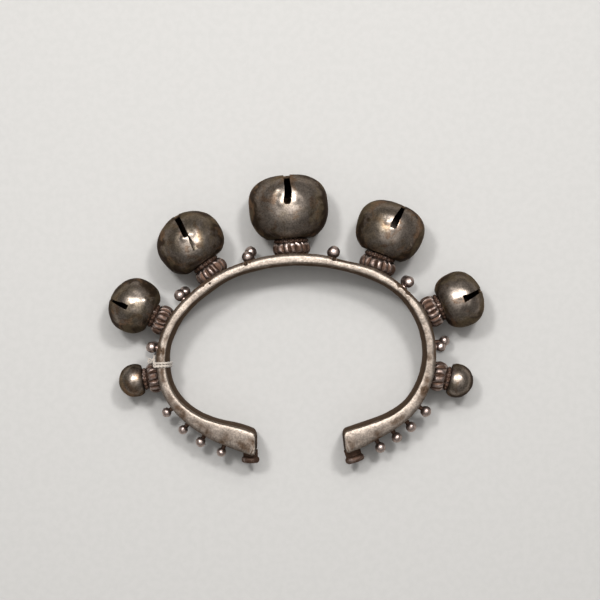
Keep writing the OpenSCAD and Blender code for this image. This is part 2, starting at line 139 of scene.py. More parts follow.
class CuffBandSettings(PropertyGroup):
    unevenness: FloatProperty(
        name="Unevenness", description="How far the hammered faces wander",
        default=0.09 * MM, min=0, max=0.3 * MM, unit="LENGTH", precision=5)
    chamfer: FloatProperty(
        name="Worn edge", description="Width of the rounded strip along the outer edges",
        default=0.65 * MM, min=0.1 * MM, max=1 * MM, unit="LENGTH", precision=5)
    crest: FloatProperty(
        name="Crest", description="Where the edge face is highest, from the inner edge",
        default=0.3, min=0, max=1, subtype="FACTOR")
    dome: FloatProperty(
        name="Dome", description="Length that says how slowly the edge face falls away outwards",
        default=45 * MM, min=5 * MM, max=200 * MM, unit="LENGTH")
    # Painted light: the band's faces painted lighter towards the top, where the light falls on them
    painted_top_light: FloatProperty(
        name="Wear at the top", description="How much more the band is rubbed under the top bell",
        default=0.34, min=0, max=0.6, subtype="FACTOR")
    silver: FloatVectorProperty(
        name="Silver", description="Colour of the rubbed metal of the band",
        subtype="COLOR", default=(0.27, 0.226, 0.19), min=0, max=1)
    tarnish: FloatVectorProperty(
        name="Tarnish", description="Colour of the tarnish in the band's hollows",
        subtype="COLOR", default=(0.09, 0.058, 0.038), min=0, max=1)


class CuffBellSettings(PropertyGroup):
    # Strength of the painted light and shade on bells and knobs: lighter upper and lower faces, darker
    # sides
    painted_light_and_shade: FloatProperty(
        name="Rubbed flats", description="How much brighter the bells are above and below than round",
        default=1.2, min=0, max=2, subtype="FACTOR")
    wall: FloatProperty(
        name="Wall", description="Thickness of the bells' sheet",
        default=0.6 * MM, min=0.3 * MM, max=1 * MM, unit="LENGTH", precision=5)
    unevenness: FloatProperty(
        name="Unevenness", description="How far the beaten sheet wanders",
        default=0.12 * MM, min=0, max=0.4 * MM, unit="LENGTH", precision=5)
    silver: FloatVectorProperty(
        name="Silver", description="Colour of the rubbed metal of the bells",
        subtype="COLOR", default=(0.27, 0.226, 0.19), min=0, max=1)
    tarnish: FloatVectorProperty(
        name="Tarnish", description="Colour of the bells' tarnish",
        subtype="COLOR", default=(0.04, 0.026, 0.016), min=0, max=1)
    stain: FloatVectorProperty(
        name="Stain", description="Colour of the rusty stains",
        subtype="COLOR", default=(0.2, 0.12, 0.07), min=0, max=1)


class CuffGranuleSettings(PropertyGroup):
    groove: FloatProperty(
        name="Groove", description="Depth of the grooves between a collar's ribs",
        default=0.55 * MM, min=0.2 * MM, max=0.9 * MM, unit="LENGTH", precision=5)
    granule: FloatProperty(
        name="Granule", description="Radius of the granules round each neck",
        default=0.49 * MM, min=0.3 * MM, max=0.6 * MM, unit="LENGTH", precision=5)
    silver: FloatVectorProperty(
        name="Silver", description="Colour of the rubbed ribs and balls",
        subtype="COLOR", default=(0.5, 0.4, 0.36), min=0, max=1)
    tarnish: FloatVectorProperty(
        name="Tarnish", description="Colour of the copper-brown tarnish in the grooves",
        subtype="COLOR", default=(0.095, 0.056, 0.04), min=0, max=1)


class CuffThreadSettings(PropertyGroup):
    thickness: FloatProperty(
        name="Thickness", description="Thickness of the tie thread",
        default=0.66 * MM, min=0.3 * MM, max=0.9 * MM, unit="LENGTH", precision=5)
    twist: FloatProperty(
        name="Twist", description="Length of one twist of the two strands",
        default=1.6 * MM, min=0.8 * MM, max=4 * MM, unit="LENGTH", precision=5)
    colour: FloatVectorProperty(
        name="Colour", description="Colour of the cotton",
        subtype="COLOR", default=(0.47, 0.41, 0.35), min=0, max=1)


class CuffStageSettings(PropertyGroup):
    camera_height: FloatProperty(
        name="Camera height", description="Distance of the camera from the band's middle plane",
        default=400 * MM, min=0.2, max=1, unit="LENGTH")
    lens: FloatProperty(
        name="Lens", description="Focal length on a 36 mm wide frame",
        default=100, min=35, max=200, unit="CAMERA")
    floor: FloatVectorProperty(
        name="Floor", description="Colour of the table",
        subtype="COLOR", default=(0.44, 0.43, 0.415), min=0, max=1)
    key: FloatProperty(
        name="Key", description="Diameter of the key softbox beyond the top bell",
        default=0.4, min=0.1, max=3, unit="LENGTH")
    key_power: FloatProperty(
        name="Key power", description="Power of the key softbox",
        default=1.3, min=0, max=100, unit="POWER")
    fill: FloatProperty(
        name="Fill", description="Diameter of the large overhead fill",
        default=1.1, min=0.2, max=3, unit="LENGTH")
    fill_power: FloatProperty(
        name="Fill power", description="Power of the overhead fill",
        default=1.7, min=0, max=100, unit="POWER")
    lamp_power: FloatProperty(
        name="Lamp power", description="Power of each small side lamp",
        default=1.1, min=0, max=50, unit="POWER")


# Shaping helpers

def deselect():
    if bpy.context.object and bpy.context.object.mode != "OBJECT":
        bpy.ops.object.mode_set(mode="OBJECT")
    for thing in bpy.context.selected_objects:
        thing.select_set(False)


def activate(piece):
    deselect()
    piece.select_set(True)
    bpy.context.view_layer.objects.active = piece


def edit(piece):
    activate(piece)
    bpy.ops.object.mode_set(mode="EDIT")


def select_where(piece, kind, chosen):
    """Selects in edit mode the vertices, edges or faces for which chosen(part) is true"""
    bpy.ops.mesh.select_mode(type=kind)
    bpy.ops.mesh.select_all(action="DESELECT")
    bpy.ops.object.mode_set(mode="OBJECT")
    mesh = piece.data
    for part in {"VERT": mesh.vertices, "EDGE": mesh.edges, "FACE": mesh.polygons}[kind]:
        part.select = chosen(part)
    bpy.ops.object.mode_set(mode="EDIT")


def raise_ring_by_ring(name, profile, segments):
    """Beats up a closed round shape about Z from (radius, height) rows; both ends are closed"""
    deselect()
    radius, height = profile[0]
    bpy.ops.mesh.primitive_circle_add(
        vertices=segments, radius=radius, fill_type="NOTHING", location=(0, 0, height))
    piece = bpy.context.object
    piece.name = piece.data.name = name
    bpy.ops.object.transform_apply(location=True, rotation=True, scale=True)
    bpy.ops.object.mode_set(mode="EDIT")
    bpy.ops.mesh.select_mode(type="VERT")
    bpy.ops.mesh.select_all(action="SELECT")
    for (low_r, low_h), (high_r, high_h) in zip(profile, profile[1:]):
        bpy.ops.mesh.extrude_region_move(TRANSFORM_OT_translate={"value": (0, 0, high_h - low_h)})
        grow = high_r / low_r
        bpy.ops.transform.resize(value=(grow, grow, 1), center_override=(0, 0, high_h))
    close_ring(profile[-1][1])
    bpy.ops.mesh.select_all(action="DESELECT")
    bpy.ops.mesh.select_non_manifold(extend=False)
    close_ring(profile[0][1])
    bpy.ops.mesh.select_all(action="SELECT")
    bpy.ops.mesh.normals_make_consistent(inside=False)
    bpy.ops.object.mode_set(mode="OBJECT")
    bpy.ops.object.shade_smooth()
    return piece


def close_ring(height):
    """Closes the selected ring of edges, at a height, by one smaller ring and a pole"""
    bpy.ops.mesh.extrude_region_move(TRANSFORM_OT_translate={"value": (0, 0, 0)})
    bpy.ops.transform.resize(value=(0.5, 0.5, 1), center_override=(0, 0, height))
    bpy.ops.mesh.extrude_region_move(TRANSFORM_OT_translate={"value": (0, 0, 0)})
    bpy.ops.mesh.merge(type="CENTER")


def settle(piece, matrix):
    """Puts a piece in its place and leaves its object at the origin"""
    piece.data.transform(matrix)
    piece.matrix_world = Matrix.Identity(4)


def apply(piece, kind, **values):
    """Adds a modifier of a kind, sets it and applies it"""
    activate(piece)
    modifier = piece.modifiers.new(kind, kind)
    for key, value in values.items():
        setattr(modifier, key, value)
    bpy.ops.object.modifier_apply(modifier=modifier.name)


def duplicate(piece, name):
    copied = piece.copy()
    copied.data = piece.data.copy()
    copied.name = copied.data.name = name
    bpy.context.scene.collection.objects.link(copied)
    return copied


def join(pieces, name):
    activate(pieces[0])
    for piece in pieces[1:]:
        piece.select_set(True)
    bpy.ops.object.join()
    pieces[0].name = pieces[0].data.name = name
    return pieces[0]


def smooth_by_angle(piece, degrees):
    activate(piece)
    bpy.ops.object.shade_smooth_by_angle(angle=math.radians(degrees))


def rise(value, low, high, least=0):
    """Share of the way from low to high, held between least and 1"""
    return min(max((value - low) / (high - low), least), 1)


def hollow_at(share):
    """Depth of a round hollow at a share of its radius: 1 in its middle, 0 at its rim"""
    return 0.5 + 0.5 * math.cos(math.pi * min(share, 1))


# Step of the noise from one seed to the next; and the finer part of beaten metal: its share,
# how many times finer it is, and its own step of the seed
SEED_STEP = (7.3, 3.1, 5.7)
FINE_SHARE = 0.4
FINER = 2.7
FINE_SEED = 11


def wander(point, size, seed):
    """Smooth irregular value about 0 at a point, whose swells are size wide"""
    return noise.noise(point / size + Vector([seed * step for step in SEED_STEP]))


def beat(piece, depth, size, seed):
    """Moves a surface in and out along its normals, as uneven hammering does"""
    piece.data.update()
    moves = [
        vertex.normal * depth
        * (wander(vertex.co, size, seed)
           + FINE_SHARE * wander(vertex.co, size / FINER, seed + FINE_SEED))
        for vertex in piece.data.vertices]
    for vertex, move in zip(piece.data.vertices, moves):
        vertex.co += move


def mark_relief(piece, rounds, depth):
    """Stores how far each point stands over its surroundings: 0 in a hollow, 1 on a crest"""
    mesh = piece.data
    mesh.update()
    count = len(mesh.vertices)
    place = np.empty(count * 3)
    mesh.vertices.foreach_get("co", place)
    place = place.reshape(-1, 3)
    normal = np.empty(count * 3)
    mesh.vertices.foreach_get("normal", normal)
    normal = normal.reshape(-1, 3)
    edge = np.empty(len(mesh.edges) * 2, dtype=np.int64)
    mesh.edges.foreach_get("vertices", edge)
    start, end = edge.reshape(-1, 2).T
    neighbours = np.bincount(edge, minlength=count)[:, None]
    level = place.copy()
    for _ in range(rounds):
        around = np.zeros_like(level)
        np.add.at(around, start, level[end])
        np.add.at(around, end, level[start])
        level = 0.5 * level + 0.5 * around / neighbours
    height = ((place - level) * normal).sum(axis=1)
    relief = np.clip(0.5 + height / (2 * depth), 0, 1)
    store = mesh.attributes.new("relief", "FLOAT", "POINT")
    store.data.foreach_set("value", relief.astype(np.float32))


def finish_piece(piece, slot, material, *nodes):
    """Gives a piece its material, hangs it under the root body and hides the solids that it stands for
    """
    piece.data.materials.clear()
    piece.data.materials.append(material)
    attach(piece, "root")
    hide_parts(*nodes)


# Places taken from the solids

def flat_points(solid):
    """The different corners of a solid, in the cuff's own upright frame"""
    rounded = {tuple(round(c, 7) for c in vertex.co) for vertex in SOLIDS[solid].data.vertices}
    return [UNLIE @ Vector(co) for co in rounded]


def middle_of(points):
    return Vector([(min(p[k] for p in points) + max(p[k] for p in points)) / 2 for k in range(3)])


def seat(centre, outwards):
    """Frame at a point: X along the band, Y along the wrist, Z outwards"""
    along = Vector((-outwards.y, outwards.x, 0))
    turn = Matrix((along, Vector((0, 0, 1)), outwards)).transposed()
    return LIE @ Matrix.Translation(centre) @ turn.to_4x4()


def neck_seat(finial):
    """Frame at the middle of a finial's ring of granules"""
    points = flat_points("beads_" + finial)
    centre = middle_of(points)
    xx = sum((p.x - centre.x) ** 2 for p in points)
    yy = sum((p.y - centre.y) ** 2 for p in points)
    xy = sum((p.x - centre.x) * (p.y - centre.y) for p in points)
    turn = 0.5 * math.atan2(2 * xy, xx - yy)
    outwards = Vector((-math.sin(turn), math.cos(turn), 0))
    if outwards.dot(centre) < 0:
        outwards.negate()
    return seat(centre, outwards)


def stud_seat(solid):
    """Frame on the band's outer face under a stud or a button"""
    centre = middle_of(flat_points(solid))
    place, normal, _, _ = BAND_FACES.find_nearest(LIE @ centre)
    if place is None:
        raise RuntimeError("no face of the band under " + solid)
    outwards = UNLIE.to_3x3() @ normal
    outwards.z = 0
    outwards.normalize()
    foot = UNLIE @ place
    foot.z = centre.z
    return seat(foot, outwards)


def reach(solid, frame_matrix):
    """Lowest and highest corner of a solid in a frame of its own"""
    back = frame_matrix.inverted()
    points = [back @ vertex.co for vertex in SOLIDS[solid].data.vertices]
    low = Vector([min(p[k] for p in points) for k in range(3)])
    high = Vector([max(p[k] for p in points) for k in range(3)])
    return low, high


# Shader node helpers and the effects that more than one finish uses

def socket(group, name, direction, kind="NodeSocketFloat", default=None):
    made = group.interface.new_socket(name=name, in_out=direction, socket_type=kind)
    if default is not None:
        made.default_value = default


def set_input(tree, spot, value):
    """Links a node's input to another node's output, or sets its value"""
    if isinstance(value, bpy.types.NodeSocket):
        tree.links.new(value, spot)
    else:
        spot.default_value = value


def feed(tree, made, values):
    """Fills inputs of a node, each given by its name or its number"""
    for key, value in values.items():
        set_input(tree, made.inputs[key], value)


def node(tree, kind, values=None, **choices):
    made = tree.nodes.new(kind)
    for key, value in choices.items():
        setattr(made, key, value)
    feed(tree, made, values or {})
    return made


def maths(tree, operation, first, second):
    return node(tree, "ShaderNodeMath", {0: first, 1: second}, operation=operation).outputs[0]


def blend(tree, factor, first, second):
    """Mixes two colours"""
    made = node(tree, "ShaderNodeMix", data_type="RGBA")
    for key, value in (("Factor", factor), ("A", first), ("B", second)):
        spot = next(spot for spot in made.inputs if spot.name == key and spot.enabled)
        set_input(tree, spot, value)
    return next(spot for spot in made.outputs if spot.enabled)


def ramp(tree, value, low, high, to_low=0.0, to_high=1.0):
    """Eased change from to_low to to_high while a value goes from low to high"""
    return node(tree, "ShaderNodeMapRange",
                {"Value": value, "From Min": low, "From Max": high, "To Min": to_low, "To Max": to_high},
                interpolation_type="SMOOTHSTEP").outputs["Result"]


def new_group(name, inputs, outputs):
    group = bpy.data.node_groups.new(name, "ShaderNodeTree")
    for label, kind, default in inputs:
        socket(group, label, "INPUT", kind, default)
    for label in outputs:
        socket(group, label, "OUTPUT")
    return group, group.nodes.new("NodeGroupInput").outputs, group.nodes.new("NodeGroupOutput").inputs


FLOAT = "NodeSocketFloat"
VECTOR = "NodeSocketVector"


def tarnish_group():
    """Tarnish that gathers in hollows and in clouds, and is rubbed off the crests"""
    group, given, out = new_group(
        "Tarnish", [("Place", VECTOR, None), ("Relief", FLOAT, 0.5), ("Scale", FLOAT, 300.0),
                    ("Seed", FLOAT, 0.0), ("Cover", FLOAT, 0.5), ("Relief share", FLOAT, 1.0),
                    ("Cloud share", FLOAT, 1.0)],
        ["Mask", "Grain"])
    cloud = node(group, "ShaderNodeTexNoise", {
        "Vector": given["Place"], "Scale": given["Scale"], "W": given["Seed"],
        "Detail": 6.0, "Roughness": 0.62, "Distortion": 0.6}, noise_dimensions="4D")
    hollow = maths(group, "SUBTRACT", 0.5, given["Relief"])
    hollow = maths(group, "MULTIPLY", hollow, given["Relief share"])
    clouds = maths(group, "SUBTRACT", cloud.outputs["Fac"], 0.5)
    clouds = maths(group, "MULTIPLY", clouds, given["Cloud share"])
    level = maths(group, "ADD", maths(group, "ADD", clouds, hollow), given["Cover"])
    group.links.new(ramp(group, level, low=0.3, high=0.72), out["Mask"])
    fine = node(group, "ShaderNodeTexNoise", {
        "Vector": given["Place"], "Scale": maths(group, "MULTIPLY", given["Scale"], 9.0),
        "W": given["Seed"], "Detail": 3.0}, noise_dimensions="4D")
    group.links.new(fine.outputs["Fac"], out["Grain"])
    return group


def stain_group():
    """Irregular stains with a soft rim"""
    bare_limit = 0.72
    cover_share = 0.4
    rim = 0.12
    group, given, out = new_group(
        "Stains", [("Place", VECTOR, None), ("Scale", FLOAT, 200.0), ("Seed", FLOAT, 0.0),
                   ("Cover", FLOAT, 0.3)],
        ["Mask"])
    patch = node(group, "ShaderNodeTexNoise", {
        "Vector": given["Place"], "Scale": given["Scale"], "W": given["Seed"],
        "Detail": 5.0, "Roughness": 0.55, "Distortion": 1.2}, noise_dimensions="4D")
    covered = maths(group, "MULTIPLY", given["Cover"], cover_share)
    limit = maths(group, "SUBTRACT", bare_limit, covered)
    level = maths(group, "SUBTRACT", patch.outputs["Fac"], limit)
    group.links.new(ramp(group, level, 0.0, rim), out["Mask"])
    return group


def worked_group():
    """Height of a worked silver face: planishing, grain, scratches and pits"""
    grain_share = 0.35
    scratch_share = 0.16
    pit_share = 0.9
    group, given, out = new_group(
        "Worked silver", [("Place", VECTOR, None), ("Scale", FLOAT, 500.0), ("Seed", FLOAT, 0.0),
                          ("Scratches", FLOAT, 0.5), ("Pits", FLOAT, 0.5),
                          ("Streak turn", VECTOR, None)],
        ["Height", "Pits", "Scratches"])
    swell = node(group, "ShaderNodeTexNoise", {
        "Vector": given["Place"], "Scale": given["Scale"], "W": given["Seed"],
        "Detail": 2.0}, noise_dimensions="4D")
    grain = node(group, "ShaderNodeTexNoise", {
        "Vector": given["Place"], "Scale": maths(group, "MULTIPLY", given["Scale"], 7.0),
        "W": given["Seed"], "Detail": 4.0, "Roughness": 0.7}, noise_dimensions="4D")
    drawn = node(group, "ShaderNodeMapping", {
        "Vector": given["Place"], "Rotation": given["Streak turn"], "Scale": (1.0, 14.0, 9.0)})
    scratch = node(group, "ShaderNodeTexNoise", {
        "Vector": drawn.outputs["Vector"], "Scale": maths(group, "MULTIPLY", given["Scale"], 0.7),
        "W": given["Seed"], "Detail": 3.0, "Distortion": 0.3}, noise_dimensions="4D")
    line = ramp(group, scratch.outputs["Fac"], low=0.6, high=0.68)
    line = maths(group, "MULTIPLY", line, given["Scratches"])
    hole = node(group, "ShaderNodeTexVoronoi", {
        "Vector": given["Place"], "Scale": maths(group, "MULTIPLY", given["Scale"], 1.3),
        "W": given["Seed"]}, voronoi_dimensions="4D")
    pit = ramp(group, hole.outputs["Distance"], low=0.16, high=0.05)
    pit = maths(group, "MULTIPLY", pit, given["Pits"])
    grains = maths(group, "MULTIPLY", grain.outputs["Fac"], grain_share)
    height = maths(group, "ADD", swell.outputs["Fac"], grains)
    height = maths(group, "SUBTRACT", height, maths(group, "MULTIPLY", line, scratch_share))
    height = maths(group, "SUBTRACT", height, maths(group, "MULTIPLY", pit, pit_share))
    group.links.new(height, out["Height"])
    group.links.new(pit, out["Pits"])
    group.links.new(line, out["Scratches"])
    return group


def shared_group(name):
    """The shader group of that name, built the first time that it is asked for"""
    makers = {"Tarnish": tarnish_group, "Stains": stain_group, "Worked silver": worked_group}
    return bpy.data.node_groups.get(name) or makers[name]()


def placed(tree, name, values):
    """Outputs of a shared group that is placed in a material with its own values"""
    return node(tree, "ShaderNodeGroup", values, node_tree=shared_group(name)).outputs


def start_material(name):
    made = bpy.data.materials.new(name)
    made.use_nodes = True
    tree = made.node_tree
    shader = tree.nodes["Principled BSDF"]
    place = tree.nodes.new("ShaderNodeTexCoord").outputs["Object"]
    return made, tree, shader, place


def colour(rgb, share=1.0):
    """Colour for a socket, darkened to a share of its brightness"""
    return (*(level * share for level in rgb), 1.0)


# Films over the bells' silver: scale as a share of the tarnish's, step of the seed, added
# cover and strength
RUST_FILM = (0.8, 9.0, 0.0, 0.7)
OLIVE_FILM = (0.5, 21.0, 0.1, 0.5)
# Brightness of a pit's floor beside the tarnish, and roughness that a scratch adds
PIT_SHADE = 0.4
SCRATCH_ROUGHNESS = 0.12
SPECULAR_TINT = (0.4, 0.36, 0.32)


def filmed(tree, base, place, look, stain):
    """Rusty stains and an olive film over a base colour"""
    for (scale, seed, cover, strength), tone in ((RUST_FILM, stain), (OLIVE_FILM, look["olive"])):
        film = placed(tree, "Stains", {
            "Place": place, "Scale": look["scale"] * scale, "Seed": look["seed"] + seed,
            "Cover": look["stain"] + cover})
        base = blend(tree, maths(tree, "MULTIPLY", film["Mask"], strength), base, colour(tone))
    return base


def silver_material(name, silver, tarnish, look, stain=None):
    """Tarnished silver. A look gives the seed; scale, share and cover of the clouds of tarnish
    and the share of the relief in it; roughness where rubbed and where tarnished; scale of the
    grain; scratches, pits and depth of the bump; turn of the scratches and whether they run
    along the band; share of metal under the tarnish; and for bells the cover of the stains and
    the colour of an olive film"""
    made, tree, shader, place = start_material(name)
    # The relief also carries the painted light and shade added on the band, bells, knobs and buttons
    relief = node(tree, "ShaderNodeAttribute", attribute_name="relief").outputs["Fac"]
    dull = placed(tree, "Tarnish", {
        "Place": place, "Relief": relief, "Scale": look["scale"], "Seed": look["seed"],
        "Cover": look["cover"], "Relief share": look["relief"], "Cloud share": look["clouds"]})
    if look.get("run"):
        place = node(tree, "ShaderNodeAttribute", attribute_name="run").outputs["Vector"]
    worked = placed(tree, "Worked silver", {
        "Place": place, "Scale": look["grain"], "Seed": look["seed"] + 3.0,
        "Scratches": look["scratches"], "Pits": look["pits"], "Streak turn": look["turn"]})
    base = blend(tree, dull["Mask"], colour(silver), colour(tarnish))
    if stain is not None:
        base = filmed(tree, base, place, look, stain)
    speckle = ramp(tree, dull["Grain"], low=0.32, high=0.68, to_low=0.7, to_high=1.2)
    tint = node(tree, "ShaderNodeVectorMath", {0: base, "Scale": speckle}, operation="SCALE")
    rough = ramp(tree, dull["Mask"], 0.0, 1.0, look["rubbed"], look["tarnished"])
    scratched = maths(tree, "MULTIPLY", worked["Scratches"], SCRATCH_ROUGHNESS)
    bump = node(tree, "ShaderNodeBump", {"Height": worked["Height"], "Distance": look["bump"]})
    feed(tree, shader, {
        "Base Color": blend(tree, worked["Pits"], tint.outputs[0], colour(tarnish, PIT_SHADE)),
        "Roughness": maths(tree, "ADD", rough, scratched),
        "Metallic": ramp(tree, dull["Mask"], 0.0, 1.0, 1.0, look["film"]),
        "Specular Tint": colour(SPECULAR_TINT),
        "Normal": bump.outputs["Normal"]})
    return made


# Brightness of soiled cotton beside the clean thread
SOILED_SHADE = 0.62


def thread_material(rgb):
    made, tree, shader, place = start_material("tie thread cotton")
    fibre = node(tree, "ShaderNodeTexNoise", {"Vector": place, "Scale": 9000.0, "Detail": 4.0})
    soil = node(tree, "ShaderNodeTexNoise", {"Vector": place, "Scale": 900.0, "Detail": 3.0})
    dirty = ramp(tree, soil.outputs["Fac"], low=0.4, high=0.75)
    rough = ramp(tree, fibre.outputs["Fac"], low=0.3, high=0.7, to_low=0.75, to_high=0.95)
    bump = node(tree, "ShaderNodeBump", {"Height": fibre.outputs["Fac"], "Distance": 0.04 * MM})
    feed(tree, shader, {
        "Base Color": blend(tree, dirty, colour(rgb), colour(rgb, SOILED_SHADE)),
        "Roughness": rough, "Sheen Weight": 0.4, "Sheen Roughness": 0.5,
        "Normal": bump.outputs["Normal"]})
    return made


BAND_LOOK = {"seed": 1.0, "scale": 260.0, "clouds": 0.35, "cover": 0.92, "relief": 1.4,
             "rubbed": 0.44, "tarnished": 0.62, "grain": 900.0, "scratches": 0.8, "pits": 0.25,
             "bump": 0.06 * MM, "turn": (0.0, 0.0, 0.04), "run": True, "film": 0.8}
BELL_LOOK = {"seed": 4.0, "scale": 300.0, "clouds": 1.0, "cover": 0.5, "relief": 1.0,
             "rubbed": 0.34, "tarnished": 0.56, "grain": 520.0, "scratches": 0.8, "pits": 0.3,
             "bump": 0.04 * MM, "turn": (0.4, 0.7, 0.5), "stain": 0.5, "olive": (0.16, 0.124, 0.076),
             "film": 0.72}
GRANULE_LOOK = {"seed": 7.0, "scale": 500.0, "clouds": 1.0, "cover": 0.3, "relief": 1.6,
                "rubbed": 0.36, "tarnished": 0.54, "grain": 900.0, "scratches": 0.3, "pits": 0.3,
                "bump": 0.04 * MM, "turn": (0.4, 0.7, 0.5), "film": 0.8}
NECK_LOOK = {**GRANULE_LOOK, "cover": 1.0, "relief": 0.7, "rubbed": 0.42, "tarnished": 0.64}
COLLAR_LOOK = {**GRANULE_LOOK, "cover": 1.04, "relief": 1.6, "rubbed": 0.27, "tarnished": 0.58,
               "scale": 620.0}


def finish(name):
    """The finish of that name, made the first time that it is asked for"""
    if name in bpy.data.materials:
        return bpy.data.materials[name]
    scene = bpy.context.scene
    settings, look = {
        "band silver": (scene.cuff_band, BAND_LOOK),
        "bell silver": (scene.cuff_bells, BELL_LOOK),
        "collar silver": (scene.cuff_granules, COLLAR_LOOK),
        "neck silver": (scene.cuff_granules, NECK_LOOK),
        "granule silver": (scene.cuff_granules, GRANULE_LOOK)}[name]
    stain = getattr(settings, "stain", None)
    return silver_material(name, settings.silver, settings.tarnish, look, stain)


# Stage

TABLE_SIZE = 3
# Where the camera's axis crosses the band's middle plane, the width of its frame in
# millimetres and how near it sees
VIEW_X = 0.96 * MM
VIEW_Y = 12 * MM
SENSOR_WIDTH = 36
NEAREST_SEEN = 0.01
# Lamps: degrees that each is swung sideways and up from overhead, distance and diameter
KEY_SWING = (0, 20)
KEY_AWAY = 0.5
FILL_SWING = (0, 0)
FILL_AWAY = 0.6
LAMP_SWINGS = {"left lamp": (-16, 16), "right lamp": (14, 20)}
LAMP_AWAY = 0.5
LAMP_SIZE = 0.07
WORLD_COLOUR = (1, 0.98, 0.95)
WORLD_STRENGTH = 0.2
# Brightness of the darkest specks of the table beside its colour
SPECK_SHADE = 0.97


class CUFF_OT_stage(Operator):
    """Pale table, key softbox, overhead fill, two small lamps and the camera over the cuff"""
    bl_idname = "cuff.stage"
    bl_label = "Stage"

    def execute(self, context):
        settings = context.scene.cuff_stage
        deselect()
        bpy.ops.mesh.primitive_plane_add(size=TABLE_SIZE)
        table = context.object
        table.name = "table"
        table.data.materials.append(table_material(settings.floor))
        add_camera(settings)
        target = LIE @ Vector((0, VIEW_Y, 0))
        add_lamp("key softbox", target, KEY_SWING, KEY_AWAY, settings.key, settings.key_power)
        add_lamp("overhead fill", target, FILL_SWING, FILL_AWAY, settings.fill, settings.fill_power)
        for name, swing in LAMP_SWINGS.items():
            add_lamp(name, target, swing, LAMP_AWAY, LAMP_SIZE, settings.lamp_power)
        world = bpy.data.worlds.new("studio")
        world.use_nodes = True
        feed(world.node_tree, world.node_tree.nodes["Background"],
             {"Color": colour(WORLD_COLOUR), "Strength": WORLD_STRENGTH})
        context.scene.world = world
        context.scene.view_settings.view_transform = "Standard"
        return {"FINISHED"}


def table_material(rgb):
    made, tree, shader, place = start_material("table")
    speck = node(tree, "ShaderNodeTexNoise", {"Vector": place, "Scale": 600.0, "Detail": 3.0})
    specked = ramp(tree, speck.outputs["Fac"], low=0.35, high=0.65)
    base = blend(tree, specked, colour(rgb), colour(rgb, SPECK_SHADE))
    feed(tree, shader, {"Base Color": base, "Roughness": 0.8})
    return made


def add_camera(settings):
    data = bpy.data.cameras.new("camera")
    data.lens = settings.lens
    data.sensor_width = SENSOR_WIDTH
    data.clip_start = NEAREST_SEEN
    camera = bpy.data.objects.new("camera", data)
    bpy.context.scene.collection.objects.link(camera)
    over = Vector((VIEW_X, VIEW_Y, settings.camera_height))
    camera.matrix_world = LIE @ Matrix.Translation(over)
    bpy.context.scene.camera = camera


def add_lamp(name, target, swing, distance, size, power):
    """Round lamp that shines on target, swung in degrees sideways and up from overhead"""
    data = bpy.data.lights.new(name, "AREA")
    data.shape = "DISK"
    data.size = size
    data.energy = power
    lamp = bpy.data.objects.new(name, data)
    bpy.context.scene.collection.objects.link(lamp)
    sideways, up = (math.radians(a) for a in swing)
    away = Vector((math.tan(sideways), math.tan(up), 1)).normalized()
    lamp.location = target + away * distance
    lamp.rotation_euler = away.to_track_quat("Z", "Y").to_euler()


# Band

# Lowest height of the band's faces, and the strip in which they turn into the side walls
FACE_LOW = 4.6 * MM
FACE_STRIP = 1.2 * MM
# Half the height in which the side walls are looked for, and the line that the ends lie beyond
WALL_HALF = 3 * MM
ENDS_Y = -20 * MM
# Least cosine between a vertex's normal and the way that its face should look: for the side
# walls, for the flat faces at the ends, for the middle of an end and for the wall beside it
SIDE_COSINE = 0.6
CAP_COSINE = 0.8
END_COSINE = 0.9
WALL_COSINE = 0.8
# How far from an end its outer wall is looked at
WALL_STRETCH = (1.2 * MM, 3 * MM)
# Radius of the oval at its ends and all round, which turn angles into lengths
END_RADIUS = 27 * MM
MEAN_RADIUS = 29 * MM
# Shares by which the rim of each end shrinks, ring after ring, as it is capped
CAP_RINGS = (0.88, 0.7, 0.5)
# Stretches in which wear sets in: away from each end, up the oval and down the arms; and the stretch
# towards the top over which the band gets painted light
END_STRETCH = (1.2 * MM, 4.2 * MM)
RISING_STRETCH = (-9 * MM, 5 * MM)
ARM_STRETCH = (1.2 * MM, 13.2 * MM)
TOP_LIGHT_STRETCH = (2 * MM, 22 * MM)
# Worn outer edges: how far down they go, and how uneven the strip is, in widths of the strip
EDGE_DROP = 0.5
EDGE_UNEVEN = 0.5
# Worn end corners: share of the worn radius that stays as it is, and heights between which the
# wear sets in
UNTOUCHED = 0.4
CORNER_STRETCH = (2.5 * MM, 5 * MM)
# How much brighter the two faces are rubbed. Tarnish that gathers on the side walls, where it is
# partly painted shade, as the walls face away from the light; beside the outer edges, past the crest
# of the arms' faces (for each metre, and at most) and in deep marks
FACE_SHINE = 0.14
WALL_TARNISH_AND_SHADE = 0.21
EDGE_TARNISH = 0.45
OUTER_TARNISH = 0.07 / (1.5 * MM)
MOST_OUTER_TARNISH = 0.12
MARK_TARNISH = 0.5
# Least and most relief that wear and the painted light and shade leave
LEAST_WEAR_AND_LIGHT = -0.4
MOST_WEAR_AND_LIGHT = 1.4


